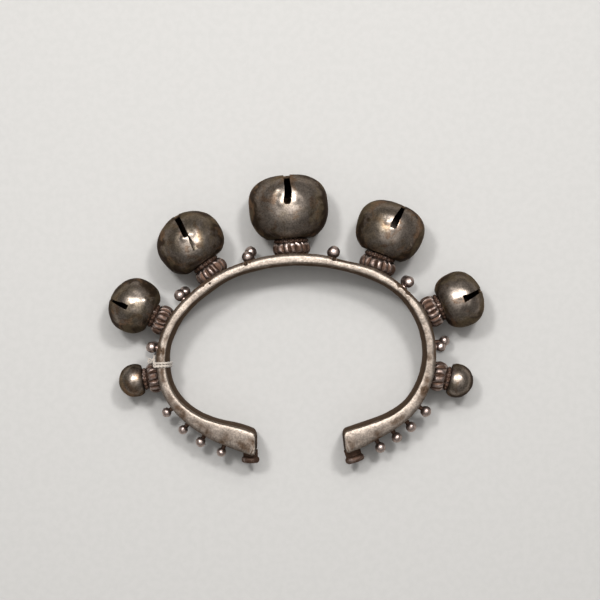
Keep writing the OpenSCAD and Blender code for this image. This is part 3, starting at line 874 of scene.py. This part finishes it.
class CUFF_OT_band(Operator):
    """Open oval band: the solid's faces, smoothed, beaten uneven, nicked and worn, with painted light
    towards the top and painted shade on its side walls
    """
    bl_idname = "cuff.band"
    bl_label = "Band"

    def execute(self, context):
        settings = context.scene.cuff_band
        piece = duplicate(SOLIDS["band"], "worn_band")
        piece.parent = None
        piece.matrix_world = Matrix.Identity(4)
        piece.hide_render = piece.hide_viewport = False
        quads_from_solid(piece)
        apply(piece, "SUBSURF", levels=2, render_levels=2)
        refine_round_marks(piece)
        settle(piece, UNLIE)
        wear_band(piece, settings)
        settle(piece, LIE)
        beat(piece, settings.unevenness, size=5 * MM, seed=1)
        beat(piece, settings.unevenness * 0.35, size=1.4 * MM, seed=2)
        smooth_by_angle(piece, 60)
        mark_relief(piece, rounds=24, depth=0.1 * MM)
        mark_wear_and_light(piece)
        finish_piece(piece, "band_silver", finish("band silver"), "band")
        return {"FINISHED"}


def marks_near(co, margin=0):
    """Share of the radius and depth of each mark that a point in the upright frame lies in"""
    found = []
    for x, y, radius, depth in BAND_MARKS:
        away = math.hypot(co.x / MM - x, co.y / MM - y)
        if away < radius + margin:
            found.append((away / radius, depth * MM))
    return found


def refine_round_marks(piece):
    """Divides the upper face where marks lie, so that they take their shape"""
    def marked(face):
        centre = UNLIE @ face.center
        return centre.z > FACE_LOW and bool(marks_near(centre, margin=0.5))

    edit(piece)
    select_where(piece, "FACE", marked)
    bpy.ops.mesh.subdivide(number_cuts=3, smoothness=0)
    bpy.ops.object.mode_set(mode="OBJECT")


def round_angle(co):
    """Angle round the oval from the gap between the ends, so that its jump lies in the gap"""
    return (math.atan2(co.y, co.x) + math.pi / 2) % (2 * math.pi)


def side_radii(mesh, sign):
    """Angles and radii of the outer (1) or inner (-1) side wall of an upright band"""
    rows = []
    for vertex in mesh.vertices:
        co = vertex.co
        flat = Vector((co.x, co.y, 0))
        if abs(co.z) < WALL_HALF and vertex.normal.dot(flat.normalized()) * sign > SIDE_COSINE:
            rows.append((round_angle(co), flat.length))
    rows.sort()
    return np.array(rows).T


def mean_plane(vertices):
    """Middle and level normal of some vertices"""
    place = sum((vertex.co for vertex in vertices), Vector()) / len(vertices)
    normal = sum((vertex.normal for vertex in vertices), Vector())
    normal.z = 0
    return place, normal.normalized()


def end_corner(mesh, side):
    """Planes of the end face and of the outer wall beside it, on one side of an upright band"""
    near = [vertex for vertex in mesh.vertices
            if vertex.co.x * side > 0 and vertex.co.y < ENDS_Y and abs(vertex.co.z) < WALL_HALF]
    end = mean_plane([v for v in near if v.normal.x * side < -END_COSINE])
    low, high = WALL_STRETCH
    wall = mean_plane([v for v in near if v.normal.dot(v.co.normalized()) > WALL_COSINE
                       and low < (end[0] - v.co).dot(end[1]) < high])
    return (*end, *wall)


def corner_wear(co, corner):
    """How far a point at an end's outer corner is worn away, most at the upper and lower face"""
    end_place, end_normal, wall_place, wall_normal = corner
    along = WORN_END_R - (end_place - co).dot(end_normal)
    across = WORN_END_R - (wall_place - co).dot(wall_normal)
    reached = math.hypot(along, across)
    still = UNTOUCHED * WORN_END_R
    if min(along, across) <= 0 or reached <= still:
        return Vector()
    near, far = min(along, across) / reached, max(along, across) / reached
    centre = WORN_END_R - END_R
    solid_edge = WORN_END_R / far
    if solid_edge * near > centre:
        solid_edge = centre * (near + far) + math.sqrt(END_R ** 2 - (centre * (far - near)) ** 2)
    worn = still + (reached - still) * (WORN_END_R - still) / (solid_edge - still)
    height = rise(abs(co.z), *CORNER_STRETCH)
    return (end_normal * along + wall_normal * across) * (height * (1 - worn / reached))


def round_edge(co, from_outer, width, amount):
    """Wears an outer edge down at a point; gives the share of tarnish that gathers there"""
    uneven_width = width * (1 + EDGE_UNEVEN * wander(co, size=4 * MM, seed=3))
    share = 1 - max(from_outer, 0) / uneven_width
    if share <= 0:
        return 0
    co.z -= math.copysign(EDGE_DROP * width * amount * share * share, co.z)
    return amount * min(2 * share, 1)


def bevel_inner_edge(co, from_inner, amount):
    """Wears an arm's inner edge down at a point; gives how bright it is rubbed there"""
    width, slope, bright = LEFT_BEVEL if co.x < 0 else RIGHT_BEVEL
    edge = max(width + INNER_SWELL - from_inner, 0) * amount
    co.z -= math.copysign(slope * edge, co.z)
    return bright * min(2 * edge / width, 1)


def press_marks(co):
    """Presses the marks into the upper face at a point; gives the share of tarnish in them"""
    tarnished = 0
    if co.z > FACE_LOW:
        for share, depth in marks_near(co):
            dip = hollow_at(share)
            co.z -= depth * dip
            tarnished += dip * (depth > DARK_DEPTH)
    return tarnished


def wear_band(piece, settings):
    """Wears edges, faces and end corners, presses the marks in and stores how worn each point is,
    together with painted light towards the top and painted shade on the side walls
    """
    mesh = piece.data
    mesh.update()
    outer = side_radii(mesh, 1)
    inner = side_radii(mesh, -1)
    corners = [end_corner(mesh, side) for side in (-1, 1)]
    wear_and_light = []
    run = []
    for vertex in mesh.vertices:
        co = vertex.co
        angle = round_angle(co)
        radius = math.hypot(co.x, co.y)
        from_outer = np.interp(angle, *outer) - radius
        from_inner = radius - np.interp(angle, *inner)
        from_end = min(angle - outer[0][0], outer[0][-1] - angle) * END_RADIUS
        face = rise(abs(co.z), FACE_LOW, FACE_LOW + FACE_STRIP)
        near_end = rise(from_end, *END_STRETCH)
        high = rise(co.y, *RISING_STRETCH, least=0.2) * near_end
        arm = rise(-co.y, *ARM_STRETCH) * near_end
        # Side walls darker: tarnish, and painted shade where the walls face away from the light
        level = FACE_SHINE * face - WALL_TARNISH_AND_SHADE * (1 - face)
        level -= EDGE_TARNISH * round_edge(co, from_outer, settings.chamfer, face * high)
        beyond = max(from_inner - settings.crest * (from_inner + from_outer), 0)
        co.z -= math.copysign(face * beyond * beyond / settings.dome, co.z)
        level -= face * arm * min(OUTER_TARNISH * beyond, MOST_OUTER_TARNISH)
        level += bevel_inner_edge(co, from_inner, face * arm)
        level -= MARK_TARNISH * press_marks(co)
        if co.y < ENDS_Y:
            co -= corner_wear(co, corners[co.x > 0])
        # Painted light: the band is lighter towards its top
        level += settings.painted_top_light * rise(co.y, *TOP_LIGHT_STRETCH, least=-0.25)
        wear_and_light.append(level)
        run.extend((angle * MEAN_RADIUS, co.z, radius))
    mesh.attributes.new("wear_and_light", "FLOAT", "POINT").data.foreach_set("value", wear_and_light)
    mesh.attributes.new("run", "FLOAT_VECTOR", "POINT").data.foreach_set("vector", run)


def mark_wear_and_light(piece):
    """Adds the stored wear and painted light and shade to the relief that the finish reads"""
    relief = piece.data.attributes["relief"].data
    for point, wear_and_light in zip(relief, piece.data.attributes["wear_and_light"].data):
        point.value = min(max(point.value + wear_and_light.value, LEAST_WEAR_AND_LIGHT), MOST_WEAR_AND_LIGHT)


def along_band(place):
    """Direction along the band at a point, in the upright frame"""
    return Vector((-place.y, place.x, 0)).normalized()


def quads_from_solid(piece):
    """Merges the solid's loose triangles into quads and caps both ends with nested rings"""
    turn = UNLIE.to_3x3()

    def at_end(face):
        centre = UNLIE @ face.center
        faces_along = abs((turn @ face.normal).dot(along_band(centre)))
        return faces_along > CAP_COSINE and centre.y < ENDS_Y

    edit(piece)
    bpy.ops.mesh.select_all(action="SELECT")
    bpy.ops.mesh.remove_doubles(threshold=1e-6)
    select_where(piece, "FACE", at_end)
    bpy.ops.mesh.delete(type="ONLY_FACE")
    bpy.ops.mesh.select_all(action="SELECT")
    bpy.ops.mesh.tris_convert_to_quads(face_threshold=math.pi, shape_threshold=math.pi)
    for side in (-1, 1):
        bpy.ops.mesh.select_mode(type="EDGE")
        bpy.ops.mesh.select_all(action="DESELECT")
        bpy.ops.mesh.select_non_manifold(extend=False)
        bpy.ops.object.mode_set(mode="OBJECT")
        mesh = piece.data
        rim = {edge.index for edge in mesh.edges
               if edge.select and mesh.vertices[edge.vertices[0]].co.x * side > 0}
        ends = [mesh.vertices[mesh.edges[k].vertices[0]].co for k in rim]
        middle = sum(ends, Vector()) / len(ends)
        bpy.ops.object.mode_set(mode="EDIT")
        select_where(piece, "EDGE", lambda edge: edge.index in rim)
        for shrink in CAP_RINGS:
            bpy.ops.mesh.extrude_region_move(TRANSFORM_OT_translate={"value": (0, 0, 0)})
            bpy.ops.transform.resize(value=(shrink, shrink, shrink), center_override=middle)
        bpy.ops.mesh.edge_face_add()
    bpy.ops.mesh.select_all(action="SELECT")
    bpy.ops.mesh.normals_make_consistent(inside=False)
    bpy.ops.object.mode_set(mode="OBJECT")


# Bells and knobs

# Rings of each half of a body, and sides of a bell and of a knob
HALF_RINGS = 26
BELL_SIDES = 160
KNOB_SIDES = 64
# Roundness of a slit's lips and the height through which the saw cuts
LIP_R = 0.09 * MM
SAW_HEIGHT = 16 * MM
# Most relief that a body keeps, and share of its half height above which it is painted lighter and below
# which, round its sides, it is painted darker
MOST_RELIEF = 0.75
LIT_ABOVE = 0.8


def quarter(radius, share, full):
    """Radius at a share of the way from the widest place; full says how square the curve is"""
    return 0 if share >= 1 else radius * (1 - share ** full) ** (1 / full)


def body_profile(neck_r, radius, widest, tip, full_in, full_out):
    """(radius, height) rows of a bell or knob, from its neck to its tip"""
    share = (neck_r / radius) ** full_in
    inner = widest / (1 - share) ** (1 / full_in)
    rows = []
    for k in range(HALF_RINGS):
        h = widest * k / HALF_RINGS
        rows.append((quarter(radius, (widest - h) / inner, full_in), h))
    for k in range(HALF_RINGS):
        h = widest + (tip - widest) * math.sin(math.pi / 2 * k / HALF_RINGS)
        rows.append((quarter(radius, (h - widest) / (tip - widest), full_out), h))
    return rows


def raise_body(name, finial, lean, belly, full_in, full_out, solid, sides):
    """Raises the round body of a bell or knob on its neck; gives the piece and its frame"""
    neck = neck_seat(finial)
    turned = neck @ Matrix.Rotation(math.radians(lean), 4, "Y")
    low, high = reach(solid, turned)
    ring_low, ring_high = reach("beads_" + finial, neck)
    neck_r = (ring_high.y - ring_low.y) / 2
    radius = (high.y - low.y) / 2
    rows = body_profile(neck_r, radius, high.z * belly, high.z, full_in, full_out)
    rows = [(r, h) for r, h in rows if h > low.z]
    return raise_ring_by_ring(name, rows, sides), turned


class CUFF_OT_bells(Operator):
    """Five hollow bells of beaten sheet, each sawn open on its upper side and over its tip"""
    bl_idname = "cuff.bells"
    bl_label = "Bells"

    def execute(self, context):
        settings = context.scene.cuff_bells
        for number, (finial, (lean, belly, full_in, full_out)) in enumerate(BELLS.items()):
            piece, turned = raise_body(
                "beaten_bell_" + finial, finial, lean, belly, full_in, full_out,
                "bell_" + finial, BELL_SIDES)
            beat(piece, settings.unevenness, size=4.5 * MM, seed=20 + number)
            beat(piece, settings.unevenness * 0.15, size=1.5 * MM, seed=30 + number)
            dent(piece, DENTS[finial])
            apply(piece, "SOLIDIFY", thickness=settings.wall, offset=-1)
            cut_slit(piece, SLITS[finial])
            smooth_by_angle(piece, 50)
            settle(piece, turned)
            mark_relief(piece, rounds=16, depth=0.16 * MM)
            paint_flat_light_side_shade(piece, settings.painted_light_and_shade)
            finish_piece(piece, "bell_silver", finish("bell silver"), "bell_" + finial)
        return {"FINISHED"}


def dent(piece, marks):
    """Pushes round dents into the upper side of a bell that still stands upright"""
    piece.data.update()
    for vertex in piece.data.vertices:
        if vertex.co.y <= 0:
            continue
        move = 0
        for side, height, radius, depth in marks:
            away = math.hypot(vertex.co.x / MM - side, vertex.co.z / MM - height) / radius
            move -= depth * MM * hollow_at(away)
        vertex.co += vertex.normal * move


def cut_slit(piece, rows):
    """Saws a slit through the upper wall and over the tip, and rounds its lips"""
    deselect()
    bpy.ops.mesh.primitive_grid_add(x_subdivisions=1, y_subdivisions=len(rows) - 1, size=1)
    saw = bpy.context.object
    corners = sorted(saw.data.vertices, key=lambda vertex: (round(vertex.co.y, 4), -vertex.co.x))
    for number, (height, left, right) in enumerate(rows):
        corners[2 * number].co = (left * MM, -SLIT_BACK, height * MM)
        corners[2 * number + 1].co = (right * MM, -SLIT_BACK, height * MM)
    edit(saw)
    bpy.ops.mesh.select_mode(type="FACE")
    bpy.ops.mesh.select_all(action="SELECT")
    bpy.ops.mesh.extrude_region_move(TRANSFORM_OT_translate={"value": (0, SAW_HEIGHT, 0)})
    bpy.ops.mesh.select_all(action="SELECT")
    bpy.ops.mesh.normals_make_consistent(inside=False)
    bpy.ops.object.mode_set(mode="OBJECT")
    apply(piece, "BOOLEAN", operation="DIFFERENCE", object=saw, solver="EXACT")
    bpy.data.objects.remove(saw)
    apply(piece, "BEVEL", width=LIP_R, segments=2, limit_method="ANGLE",
          angle_limit=math.radians(50), use_clamp_overlap=True)


def paint_flat_light_side_shade(piece, amount):
    """Paints light and shade on a round body: lifts the relief on its upper and lower faces, a painted
    highlight, and lowers it round its sides, painted shade
    """
    heights = [vertex.co.z for vertex in piece.data.vertices]
    middle = (min(heights) + max(heights)) / 2
    half = max(heights) - middle
    for point, height in zip(piece.data.attributes["relief"].data, heights):
        above = abs(height - middle) / half - LIT_ABOVE
        point.value = min(point.value, MOST_RELIEF) + amount * above


class CUFF_OT_knobs(Operator):
    """Two plain round knobs"""
    bl_idname = "cuff.knobs"
    bl_label = "Knobs"

    def execute(self, context):
        settings = context.scene.cuff_bells
        for number, (finial, (belly, full_in, full_out)) in enumerate(KNOBS.items()):
            piece, turned = raise_body(
                "round_" + finial, finial, 0, belly, full_in, full_out, finial, KNOB_SIDES)
            beat(piece, settings.unevenness * 0.8, size=3 * MM, seed=40 + number)
            smooth_by_angle(piece, 50)
            settle(piece, turned)
            mark_relief(piece, rounds=16, depth=0.16 * MM)
            paint_flat_light_side_shade(piece, settings.painted_light_and_shade)
            finish_piece(piece, "bell_silver", finish("bell silver"), finial)
        return {"FINISHED"}


# Collars and rings of granules

COLLAR_LEVELS = 14
STEPS_PER_RIB = 12
# Radius of a collar's foot beside its belly, fullness of its curve, and radius beside the
# belly's outside which it is fluted
FOOT_SHARE = 0.8
COLLAR_FULLNESS = 2.2
FLUTED_BEYOND = 0.6
# How far the ribs drift round the collar and slant along it, as a turn of their wave
RIB_DRIFT = 0.96
RIB_SLANT = 0.6
# Creases between the ribs: sharpness, and share of their depth at the collar's two rims; and
# how much the ribs differ in height, beside that depth
CREASE_POWER = 1.3
RIM_CREASE = 0.45
RIB_SPREAD = 0.6


class CUFF_OT_collars(Operator):
    """Fluted collars under the bells and knobs"""
    bl_idname = "cuff.collars"
    bl_label = "Collars"

    def execute(self, context):
        settings = context.scene.cuff_granules
        for number, finial in enumerate(FINIALS):
            solid = "collar_" + finial
            neck = neck_seat(finial)
            low, high = reach(solid, neck)
            radius = (high.y - low.y) / 2
            ring_low, ring_high = reach("beads_" + finial, neck)
            piece = fluted_barrel(
                "fluted_collar_" + finial, radius, (ring_high.y - ring_low.y) / 2,
                low.z, high.z, RIBS[finial], settings.groove, number)
            settle(piece, neck)
            smooth_by_angle(piece, 70)
            mark_relief(piece, rounds=12, depth=0.16 * MM)
            finish_piece(piece, "granule_silver", finish("collar silver"), solid)
        return {"FINISHED"}


def fluted_barrel(name, radius, top_r, low, high, ribs, groove, seed):
    """Barrel raised ring by ring, then creased into uneven, slightly slanted ribs"""
    def barrel(v):
        share = FOOT_SHARE if v < 0.5 else top_r / radius
        return radius * (1 - (1 - share) * abs(2 * v - 1) ** COLLAR_FULLNESS)

    levels = [k / COLLAR_LEVELS for k in range(COLLAR_LEVELS + 1)]
    rows = [(barrel(v), low + (high - low) * v) for v in levels]
    piece = raise_ring_by_ring(name, rows, ribs * STEPS_PER_RIB)
    for vertex in piece.data.vertices:
        co = vertex.co
        v = (co.z - low) / (high - low)
        turn = math.atan2(co.y, co.x)
        around = Vector((math.cos(turn), math.sin(turn), 0.4 * v))
        drift = RIB_DRIFT * wander(around, size=0.5, seed=seed)
        phase = turn * ribs / 2 + drift + RIB_SLANT * (v - 0.5)
        rib = round(phase / math.pi)
        height = 0.5 + wander(Vector((rib % ribs, 0.5, 0.5)), size=1.7, seed=seed)
        crease = RIB_SPREAD * height + (1 - abs(math.cos(phase))) ** CREASE_POWER
        belly = math.sin(math.pi * rise(v, 0, 1))
        depth = groove * (RIM_CREASE + (1 - RIM_CREASE) * belly)
        out = math.hypot(co.x, co.y)
        if out > FLUTED_BEYOND * radius:
            shrink = (out - depth * crease) / out
            co.x *= shrink
            co.y *= shrink
    return piece


# Disc that the granules stand round: how far its rim lies beyond their middles, and its sides
DISC_RIM = 0.1 * MM
DISC_SIDES = 48
# Room for each granule beside its own width, its mean size and how far sizes differ
GRANULE_PITCH = 1.05
GRANULE_SIZE = 0.96
SIZE_SPREAD = 0.06
# Turn in radians from one granule to the next, so that no two look alike
GRANULE_TURN = 1.7


class CUFF_OT_granules(Operator):
    """Ring of granules at each neck"""
    bl_idname = "cuff.granules"
    bl_label = "Granules"

    def execute(self, context):
        settings = context.scene.cuff_granules
        for number, finial in enumerate(FINIALS):
            solid = "beads_" + finial
            neck = neck_seat(finial)
            low, high = reach(solid, neck)
            ring_r = (high.y - low.y) / 2 - settings.granule
            rim = ring_r + DISC_RIM
            disc = raise_ring_by_ring(
                "granule_ring_" + finial,
                [(ring_r * 0.9, -settings.granule), (rim, -settings.granule * 0.8),
                 (rim, settings.granule * 0.8), (ring_r * 0.9, settings.granule)], DISC_SIDES)
            count = int(math.pi / math.asin(GRANULE_PITCH * settings.granule / ring_r))
            balls = granules(count, ring_r, settings.granule, number)
            piece = join([disc] + balls, "granule_ring_" + finial)
            settle(piece, neck)
            smooth_by_angle(piece, 60)
            mark_relief(piece, rounds=8, depth=0.1 * MM)
            finish_piece(piece, "granule_silver", finish("neck silver"), solid)
        return {"FINISHED"}


def granules(count, ring_r, radius, seed):
    """One granule modelled, then copied round a ring with small differences"""
    deselect()
    bpy.ops.mesh.primitive_ico_sphere_add(subdivisions=3, radius=radius)
    first = bpy.context.object
    bpy.ops.object.shade_smooth()
    beat(first, 0.05 * MM, size=0.6 * MM, seed=seed)
    made = []
    for k in range(count):
        ball = duplicate(first, "granule")
        angle = 2 * math.pi * k / count
        size = GRANULE_SIZE + SIZE_SPREAD * wander(Vector((k, seed, 0)), size=1.3, seed=5)
        settle(ball, Matrix.Rotation(angle, 4, "Z") @ Matrix.Translation((ring_r, 0, 0))
               @ Matrix.Rotation(k * GRANULE_TURN, 4, "X") @ Matrix.Scale(size, 4))
        made.append(ball)
    bpy.data.objects.remove(first)
    return made


# Studs and buttons

# Studs: radius of the wire at the foot, of the ring that it makes and of the stalk
WIRE_R = 0.28 * MM
FOOT_R = 0.55 * MM
STALK_R = 0.5 * MM
STUD_SIDES = 32
BALL_STEPS = 16
# Buttons: lean in degrees from the band's normal, half height of the rounded bun, how far its
# stalk lies inside its rim and how far down the bun is left unshaded, in half heights
BUTTON_LEANS = {"button_left": 15, "button_right": -3}
BUN_R = 0.85 * MM
STALK_INSET = 0.4 * MM
UNSHADED_DOWN = 1.8
# Relief given to the painted shade on each button's stalk under its bun
STALK_SHADE_RELIEF = -0.6
BUTTON_SIDES = 48


def half_round(middle_r, middle_h, round_r, first):
    """(radius, height) rows of a round edge, every 20 degrees from first to 80 or 90"""
    angles = [math.radians(d) for d in range(first, 100, 20)]
    return [(middle_r + round_r * math.cos(a), middle_h + round_r * math.sin(a)) for a in angles]


def stud_profile(ball_h, ball_r, foot_z):
    """(radius, height) rows of a stud: wire ring at the foot, stalk and ball"""
    start = math.asin(min(STALK_R / ball_r, 1))
    ball_foot = ball_h - ball_r * math.cos(start)
    rows = [(r, h) for r, h in half_round(FOOT_R, foot_z + WIRE_R, WIRE_R, -80)
            if h < ball_foot or r > STALK_R]
    for k in range(BALL_STEPS):
        a = start + (math.pi - start) * k / BALL_STEPS
        rows.append((ball_r * math.sin(a), ball_h - ball_r * math.cos(a)))
    return rows


class CUFF_OT_studs(Operator):
    """Ball-headed studs soldered to the band"""
    bl_idname = "cuff.studs"
    bl_label = "Studs"

    def execute(self, context):
        names = [name for name in SOLIDS if name.startswith("shot_")]
        for number, name in enumerate(sorted(names)):
            foot = stud_seat(name)
            low, high = reach(name, foot)
            ball_r = (high.y - low.y) / 2
            piece = raise_ring_by_ring(
                name.replace("shot", "ball_stud"),
                stud_profile(high.z - ball_r, ball_r, low.z), STUD_SIDES)
            beat(piece, 0.09 * MM, size=1.1 * MM, seed=60 + number)
            settle(piece, foot)
            smooth_by_angle(piece, 60)
            mark_relief(piece, rounds=10, depth=0.2 * MM)
            finish_piece(piece, "granule_silver", finish("granule silver"), name)
        return {"FINISHED"}


def paint_stalk_shade(piece, back, height):
    """Paints shade on a piece below a height along its own axis: the stalk under the bun, where shade
    falls, takes full tarnish
    """
    for point, vertex in zip(piece.data.attributes["relief"].data, piece.data.vertices):
        if (back @ vertex.co).z < height:
            point.value = STALK_SHADE_RELIEF


class CUFF_OT_buttons(Operator):
    """Flattened bosses on the two ends"""
    bl_idname = "cuff.buttons"
    bl_label = "Buttons"

    def execute(self, context):
        for number, (name, lean) in enumerate(BUTTON_LEANS.items()):
            foot = stud_seat(name) @ Matrix.Rotation(math.radians(lean), 4, "Y")
            low, high = reach(name, foot)
            radius = (high.y - low.y) / 2
            stalk = radius - STALK_INSET
            rows = [(stalk, low.z), (stalk, high.z - 2 * BUN_R)]
            rows += half_round(radius - BUN_R, high.z - BUN_R, BUN_R, -70)
            piece = raise_ring_by_ring("end_" + name, rows, BUTTON_SIDES)
            beat(piece, 0.08 * MM, size=1.6 * MM, seed=90 + number)
            settle(piece, foot)
            smooth_by_angle(piece, 50)
            mark_relief(piece, rounds=10, depth=0.15 * MM)
            paint_stalk_shade(piece, foot.inverted(), high.z - UNSHADED_DOWN * BUN_R)
            finish_piece(piece, "granule_silver", finish("neck silver"), name)
        return {"FINISHED"}


# Thread

# Where the thread lies, in the upright frame and in millimetres: middle of the band's section
# there, and the directions outwards from it and along the band
THREAD_MIDDLE = Vector((-32.034, -3.028, 0))
THREAD_OUT = Vector((-0.9991, -0.0424, 0))
THREAD_ALONG = Vector((-THREAD_OUT.y, THREAD_OUT.x, 0))
# The band there: half thickness, half width, rounding of its edges, swell of its inner face
THREAD_HALF = 1.16
HALF_WIDTH = 6.0
EDGE_R = 0.35
CROWN = 0.5
# The turns: gap under them, how far they lie down the band and bow up round the collar, their
# number, and the step from one to the next in radii of the thread
THREAD_GAP = 0.05
THREAD_DOWN = 0.45
BOW = 1.8
TURNS = 2
TURN_STEP = 2.05
# Points of half the outer run, of half the inner run, of each corner and of one twist
OUTER_STEPS = 6
INNER_STEPS = 5
CORNER_STEPS = 4
TWIST_STEPS = 14
# The knot: how far it lies beyond the band, up along it and up the wrist, and the half sizes
# of its loop outwards, along the band and up
KNOT_OUT = 1
KNOT_ALONG = 0.65
KNOT_UP = 4.4
LOOP_OUT = 0.75
LOOP_ALONG = 0.5
LOOP_UP = 0.55
LOOP_STEPS = 32
# Strands of the turns and of the loop: radius and distance from the thread's middle line, in
# radii of the thread, and the length of one twist of the loop
PLY_R = 0.62
PLY_APART = 0.42
LOOP_PLY_R = 0.32
LOOP_PLY_APART = 0.3
LOOP_TWIST = 1.4 * MM
# Loose fibres: number, radius, how far they stand out and drift, and points along each as a
# share of its length
FIBRES = 16
FIBRE_R = 0.025 * MM
FIBRE_OUT = 0.45
FIBRE_DRIFT = 1.98
FIBRE_SHARES = (0, 0.25, 0.5, 0.75, 1)


def section_turn(radius):
    """One turn round the band's section, from the middle of the outer run: out, up"""
    out = THREAD_HALF + radius + THREAD_GAP
    high = HALF_WIDTH - EDGE_R
    around = EDGE_R + radius + THREAD_GAP

    def corner(out_middle, up_middle, first):
        for step in range(CORNER_STEPS + 1):
            a = math.radians(first + 90 * step / CORNER_STEPS)
            yield (out_middle + around * math.cos(a), up_middle + around * math.sin(a))

    rows = [(out, high * k / OUTER_STEPS) for k in range(OUTER_STEPS)]
    rows += corner(THREAD_HALF - EDGE_R, high, 0)
    rows += corner(EDGE_R - THREAD_HALF, high, 90)
    for k in range(1, 2 * INNER_STEPS):
        share = 1 - k / INNER_STEPS
        rows.append((-out - CROWN * (1 - share ** 2), high * share))
    rows += corner(EDGE_R - THREAD_HALF, -high, 180)
    rows += corner(THREAD_HALF - EDGE_R, -high, 270)
    rows += [(out, -high * k / OUTER_STEPS) for k in range(OUTER_STEPS - 1, 0, -1)]
    return rows


def thread_route(radius):
    """Middle line of the thread's turns, in the upright frame"""
    rows = section_turn(radius) * TURNS
    route = []
    for number, (out, up) in enumerate(rows):
        share = number / (len(rows) - 1) - 0.5
        bow = BOW * (1 - (up / HALF_WIDTH) ** 2) if out > THREAD_HALF else 0
        shift = share * TURNS * TURN_STEP * radius + THREAD_DOWN - bow
        place = THREAD_MIDDLE + THREAD_OUT * out + THREAD_ALONG * shift + Vector((0, 0, up))
        route.append(place * MM)
    return route


def strand(name, points, radius):
    """Round strand along points, made a mesh"""
    data = bpy.data.curves.new(name, "CURVE")
    data.dimensions = "3D"
    data.bevel_depth = radius
    data.bevel_resolution = 2
    data.use_fill_caps = True
    line = data.splines.new("POLY")
    line.points.add(len(points) - 1)
    for point, co in zip(line.points, points):
        point.co = (*co, 1)
    piece = bpy.data.objects.new(name, data)
    bpy.context.scene.collection.objects.link(piece)
    activate(piece)
    bpy.ops.object.convert(target="MESH")
    return bpy.context.object


def evenly(route, step):
    """Points a step apart along a route, with the direction there"""
    found = []
    left = 0.0
    for start, end in zip(route, route[1:]):
        length = (end - start).length
        while left < length:
            found.append((start.lerp(end, left / length), (end - start).normalized()))
            left += step
        left -= length
    return found


def ply(route, radius, twist, phase):
    """One of the two strands that twist round each other along a route"""
    points = []
    for number, (place, forward) in enumerate(evenly(route, twist / TWIST_STEPS)):
        side = forward.cross(THREAD_ALONG).normalized()
        up = forward.cross(side)
        a = 2 * math.pi * number / TWIST_STEPS + phase
        points.append(place + (side * math.cos(a) + up * math.sin(a)) * radius)
    return points


def two_plies(name, route, radius, apart, twist):
    """Both strands of a thread along a route, their middles apart from its middle line"""
    return [strand(name, ply(route, apart, twist, math.pi * k), radius) for k in (0, 1)]


def knot(radius):
    """A small overhand loop and loose fibres where the thread is tied, outside the band"""
    centre = THREAD_MIDDLE + THREAD_OUT * (THREAD_HALF + KNOT_OUT) - THREAD_ALONG * KNOT_ALONG
    centre.z = KNOT_UP
    loop = []
    for k in range(LOOP_STEPS + 1):
        a = 2 * math.pi * k / LOOP_STEPS
        outwards = THREAD_OUT * (LOOP_OUT * math.sin(a))
        along = THREAD_ALONG * (LOOP_ALONG * math.sin(2 * a))
        loop.append((centre + outwards + along + Vector((0, 0, LOOP_UP * math.cos(a)))) * MM)
    made = two_plies("loop", loop, radius * LOOP_PLY_R, radius * LOOP_PLY_APART, LOOP_TWIST)
    for number in range(FIBRES):
        start = loop[(number * 5) % LOOP_STEPS]
        drift = Vector([wander(Vector((number, k, 2.5)), size=0.83, seed=8) for k in range(3)])
        lean = (THREAD_OUT * FIBRE_OUT + drift * FIBRE_DRIFT) * MM
        curl = Vector([wander(Vector((k, number, 7.5)), size=0.71, seed=9) for k in range(3)]) * MM
        points = [start + lean * share + curl * share ** 2 for share in FIBRE_SHARES]
        made.append(strand("fibre", points, FIBRE_R))
    return made


class CUFF_OT_thread(Operator):
    """Two-ply cotton thread tied twice round the band, with a frayed knot outside"""
    bl_idname = "cuff.thread"
    bl_label = "Thread"

    def execute(self, context):
        settings = context.scene.cuff_thread
        radius = settings.thickness / 2
        made = two_plies(
            "ply", thread_route(radius / MM), radius * PLY_R, radius * PLY_APART, settings.twist)
        piece = join(made + knot(radius), "tied_thread")
        settle(piece, LIE)
        bpy.ops.object.shade_smooth()
        finish_piece(piece, "thread", thread_material(settings.colour), "tie_thread")
        return {"FINISHED"}


STEPS = (CUFF_OT_stage, CUFF_OT_band, CUFF_OT_bells, CUFF_OT_knobs, CUFF_OT_collars,
         CUFF_OT_granules, CUFF_OT_studs, CUFF_OT_buttons, CUFF_OT_thread)
SETTINGS = {"cuff_band": CuffBandSettings, "cuff_bells": CuffBellSettings,
            "cuff_granules": CuffGranuleSettings, "cuff_thread": CuffThreadSettings,
            "cuff_stage": CuffStageSettings}


class CUFF_PT_pieces(Panel):
    """Pieces of the cuff, in the order in which they are made"""
    bl_label = "Bell cuff"
    bl_idname = "CUFF_PT_pieces"
    bl_space_type = "VIEW_3D"
    bl_region_type = "UI"
    bl_category = "Bell cuff"

    def draw(self, context):
        for step in STEPS:
            self.layout.operator(step.bl_idname)
        for name, group in SETTINGS.items():
            box = self.layout.box()
            for key in group.__annotations__:
                box.prop(getattr(context.scene, name), key)


def register():
    for name, group in SETTINGS.items():
        bpy.utils.register_class(group)
        setattr(bpy.types.Scene, name, PointerProperty(type=group))
    for step in STEPS:
        bpy.utils.register_class(step)
    bpy.utils.register_class(CUFF_PT_pieces)


def unregister():
    bpy.utils.unregister_class(CUFF_PT_pieces)
    for step in reversed(STEPS):
        bpy.utils.unregister_class(step)
    for name, group in SETTINGS.items():
        delattr(bpy.types.Scene, name)
        bpy.utils.unregister_class(group)


def main():
    register()
    bpy.ops.cuff.stage()
    bpy.ops.cuff.band()
    bpy.ops.cuff.bells()
    bpy.ops.cuff.knobs()
    bpy.ops.cuff.collars()
    bpy.ops.cuff.granules()
    bpy.ops.cuff.studs()
    bpy.ops.cuff.buttons()
    bpy.ops.cuff.thread()


if __name__ == "__main__":
    main()
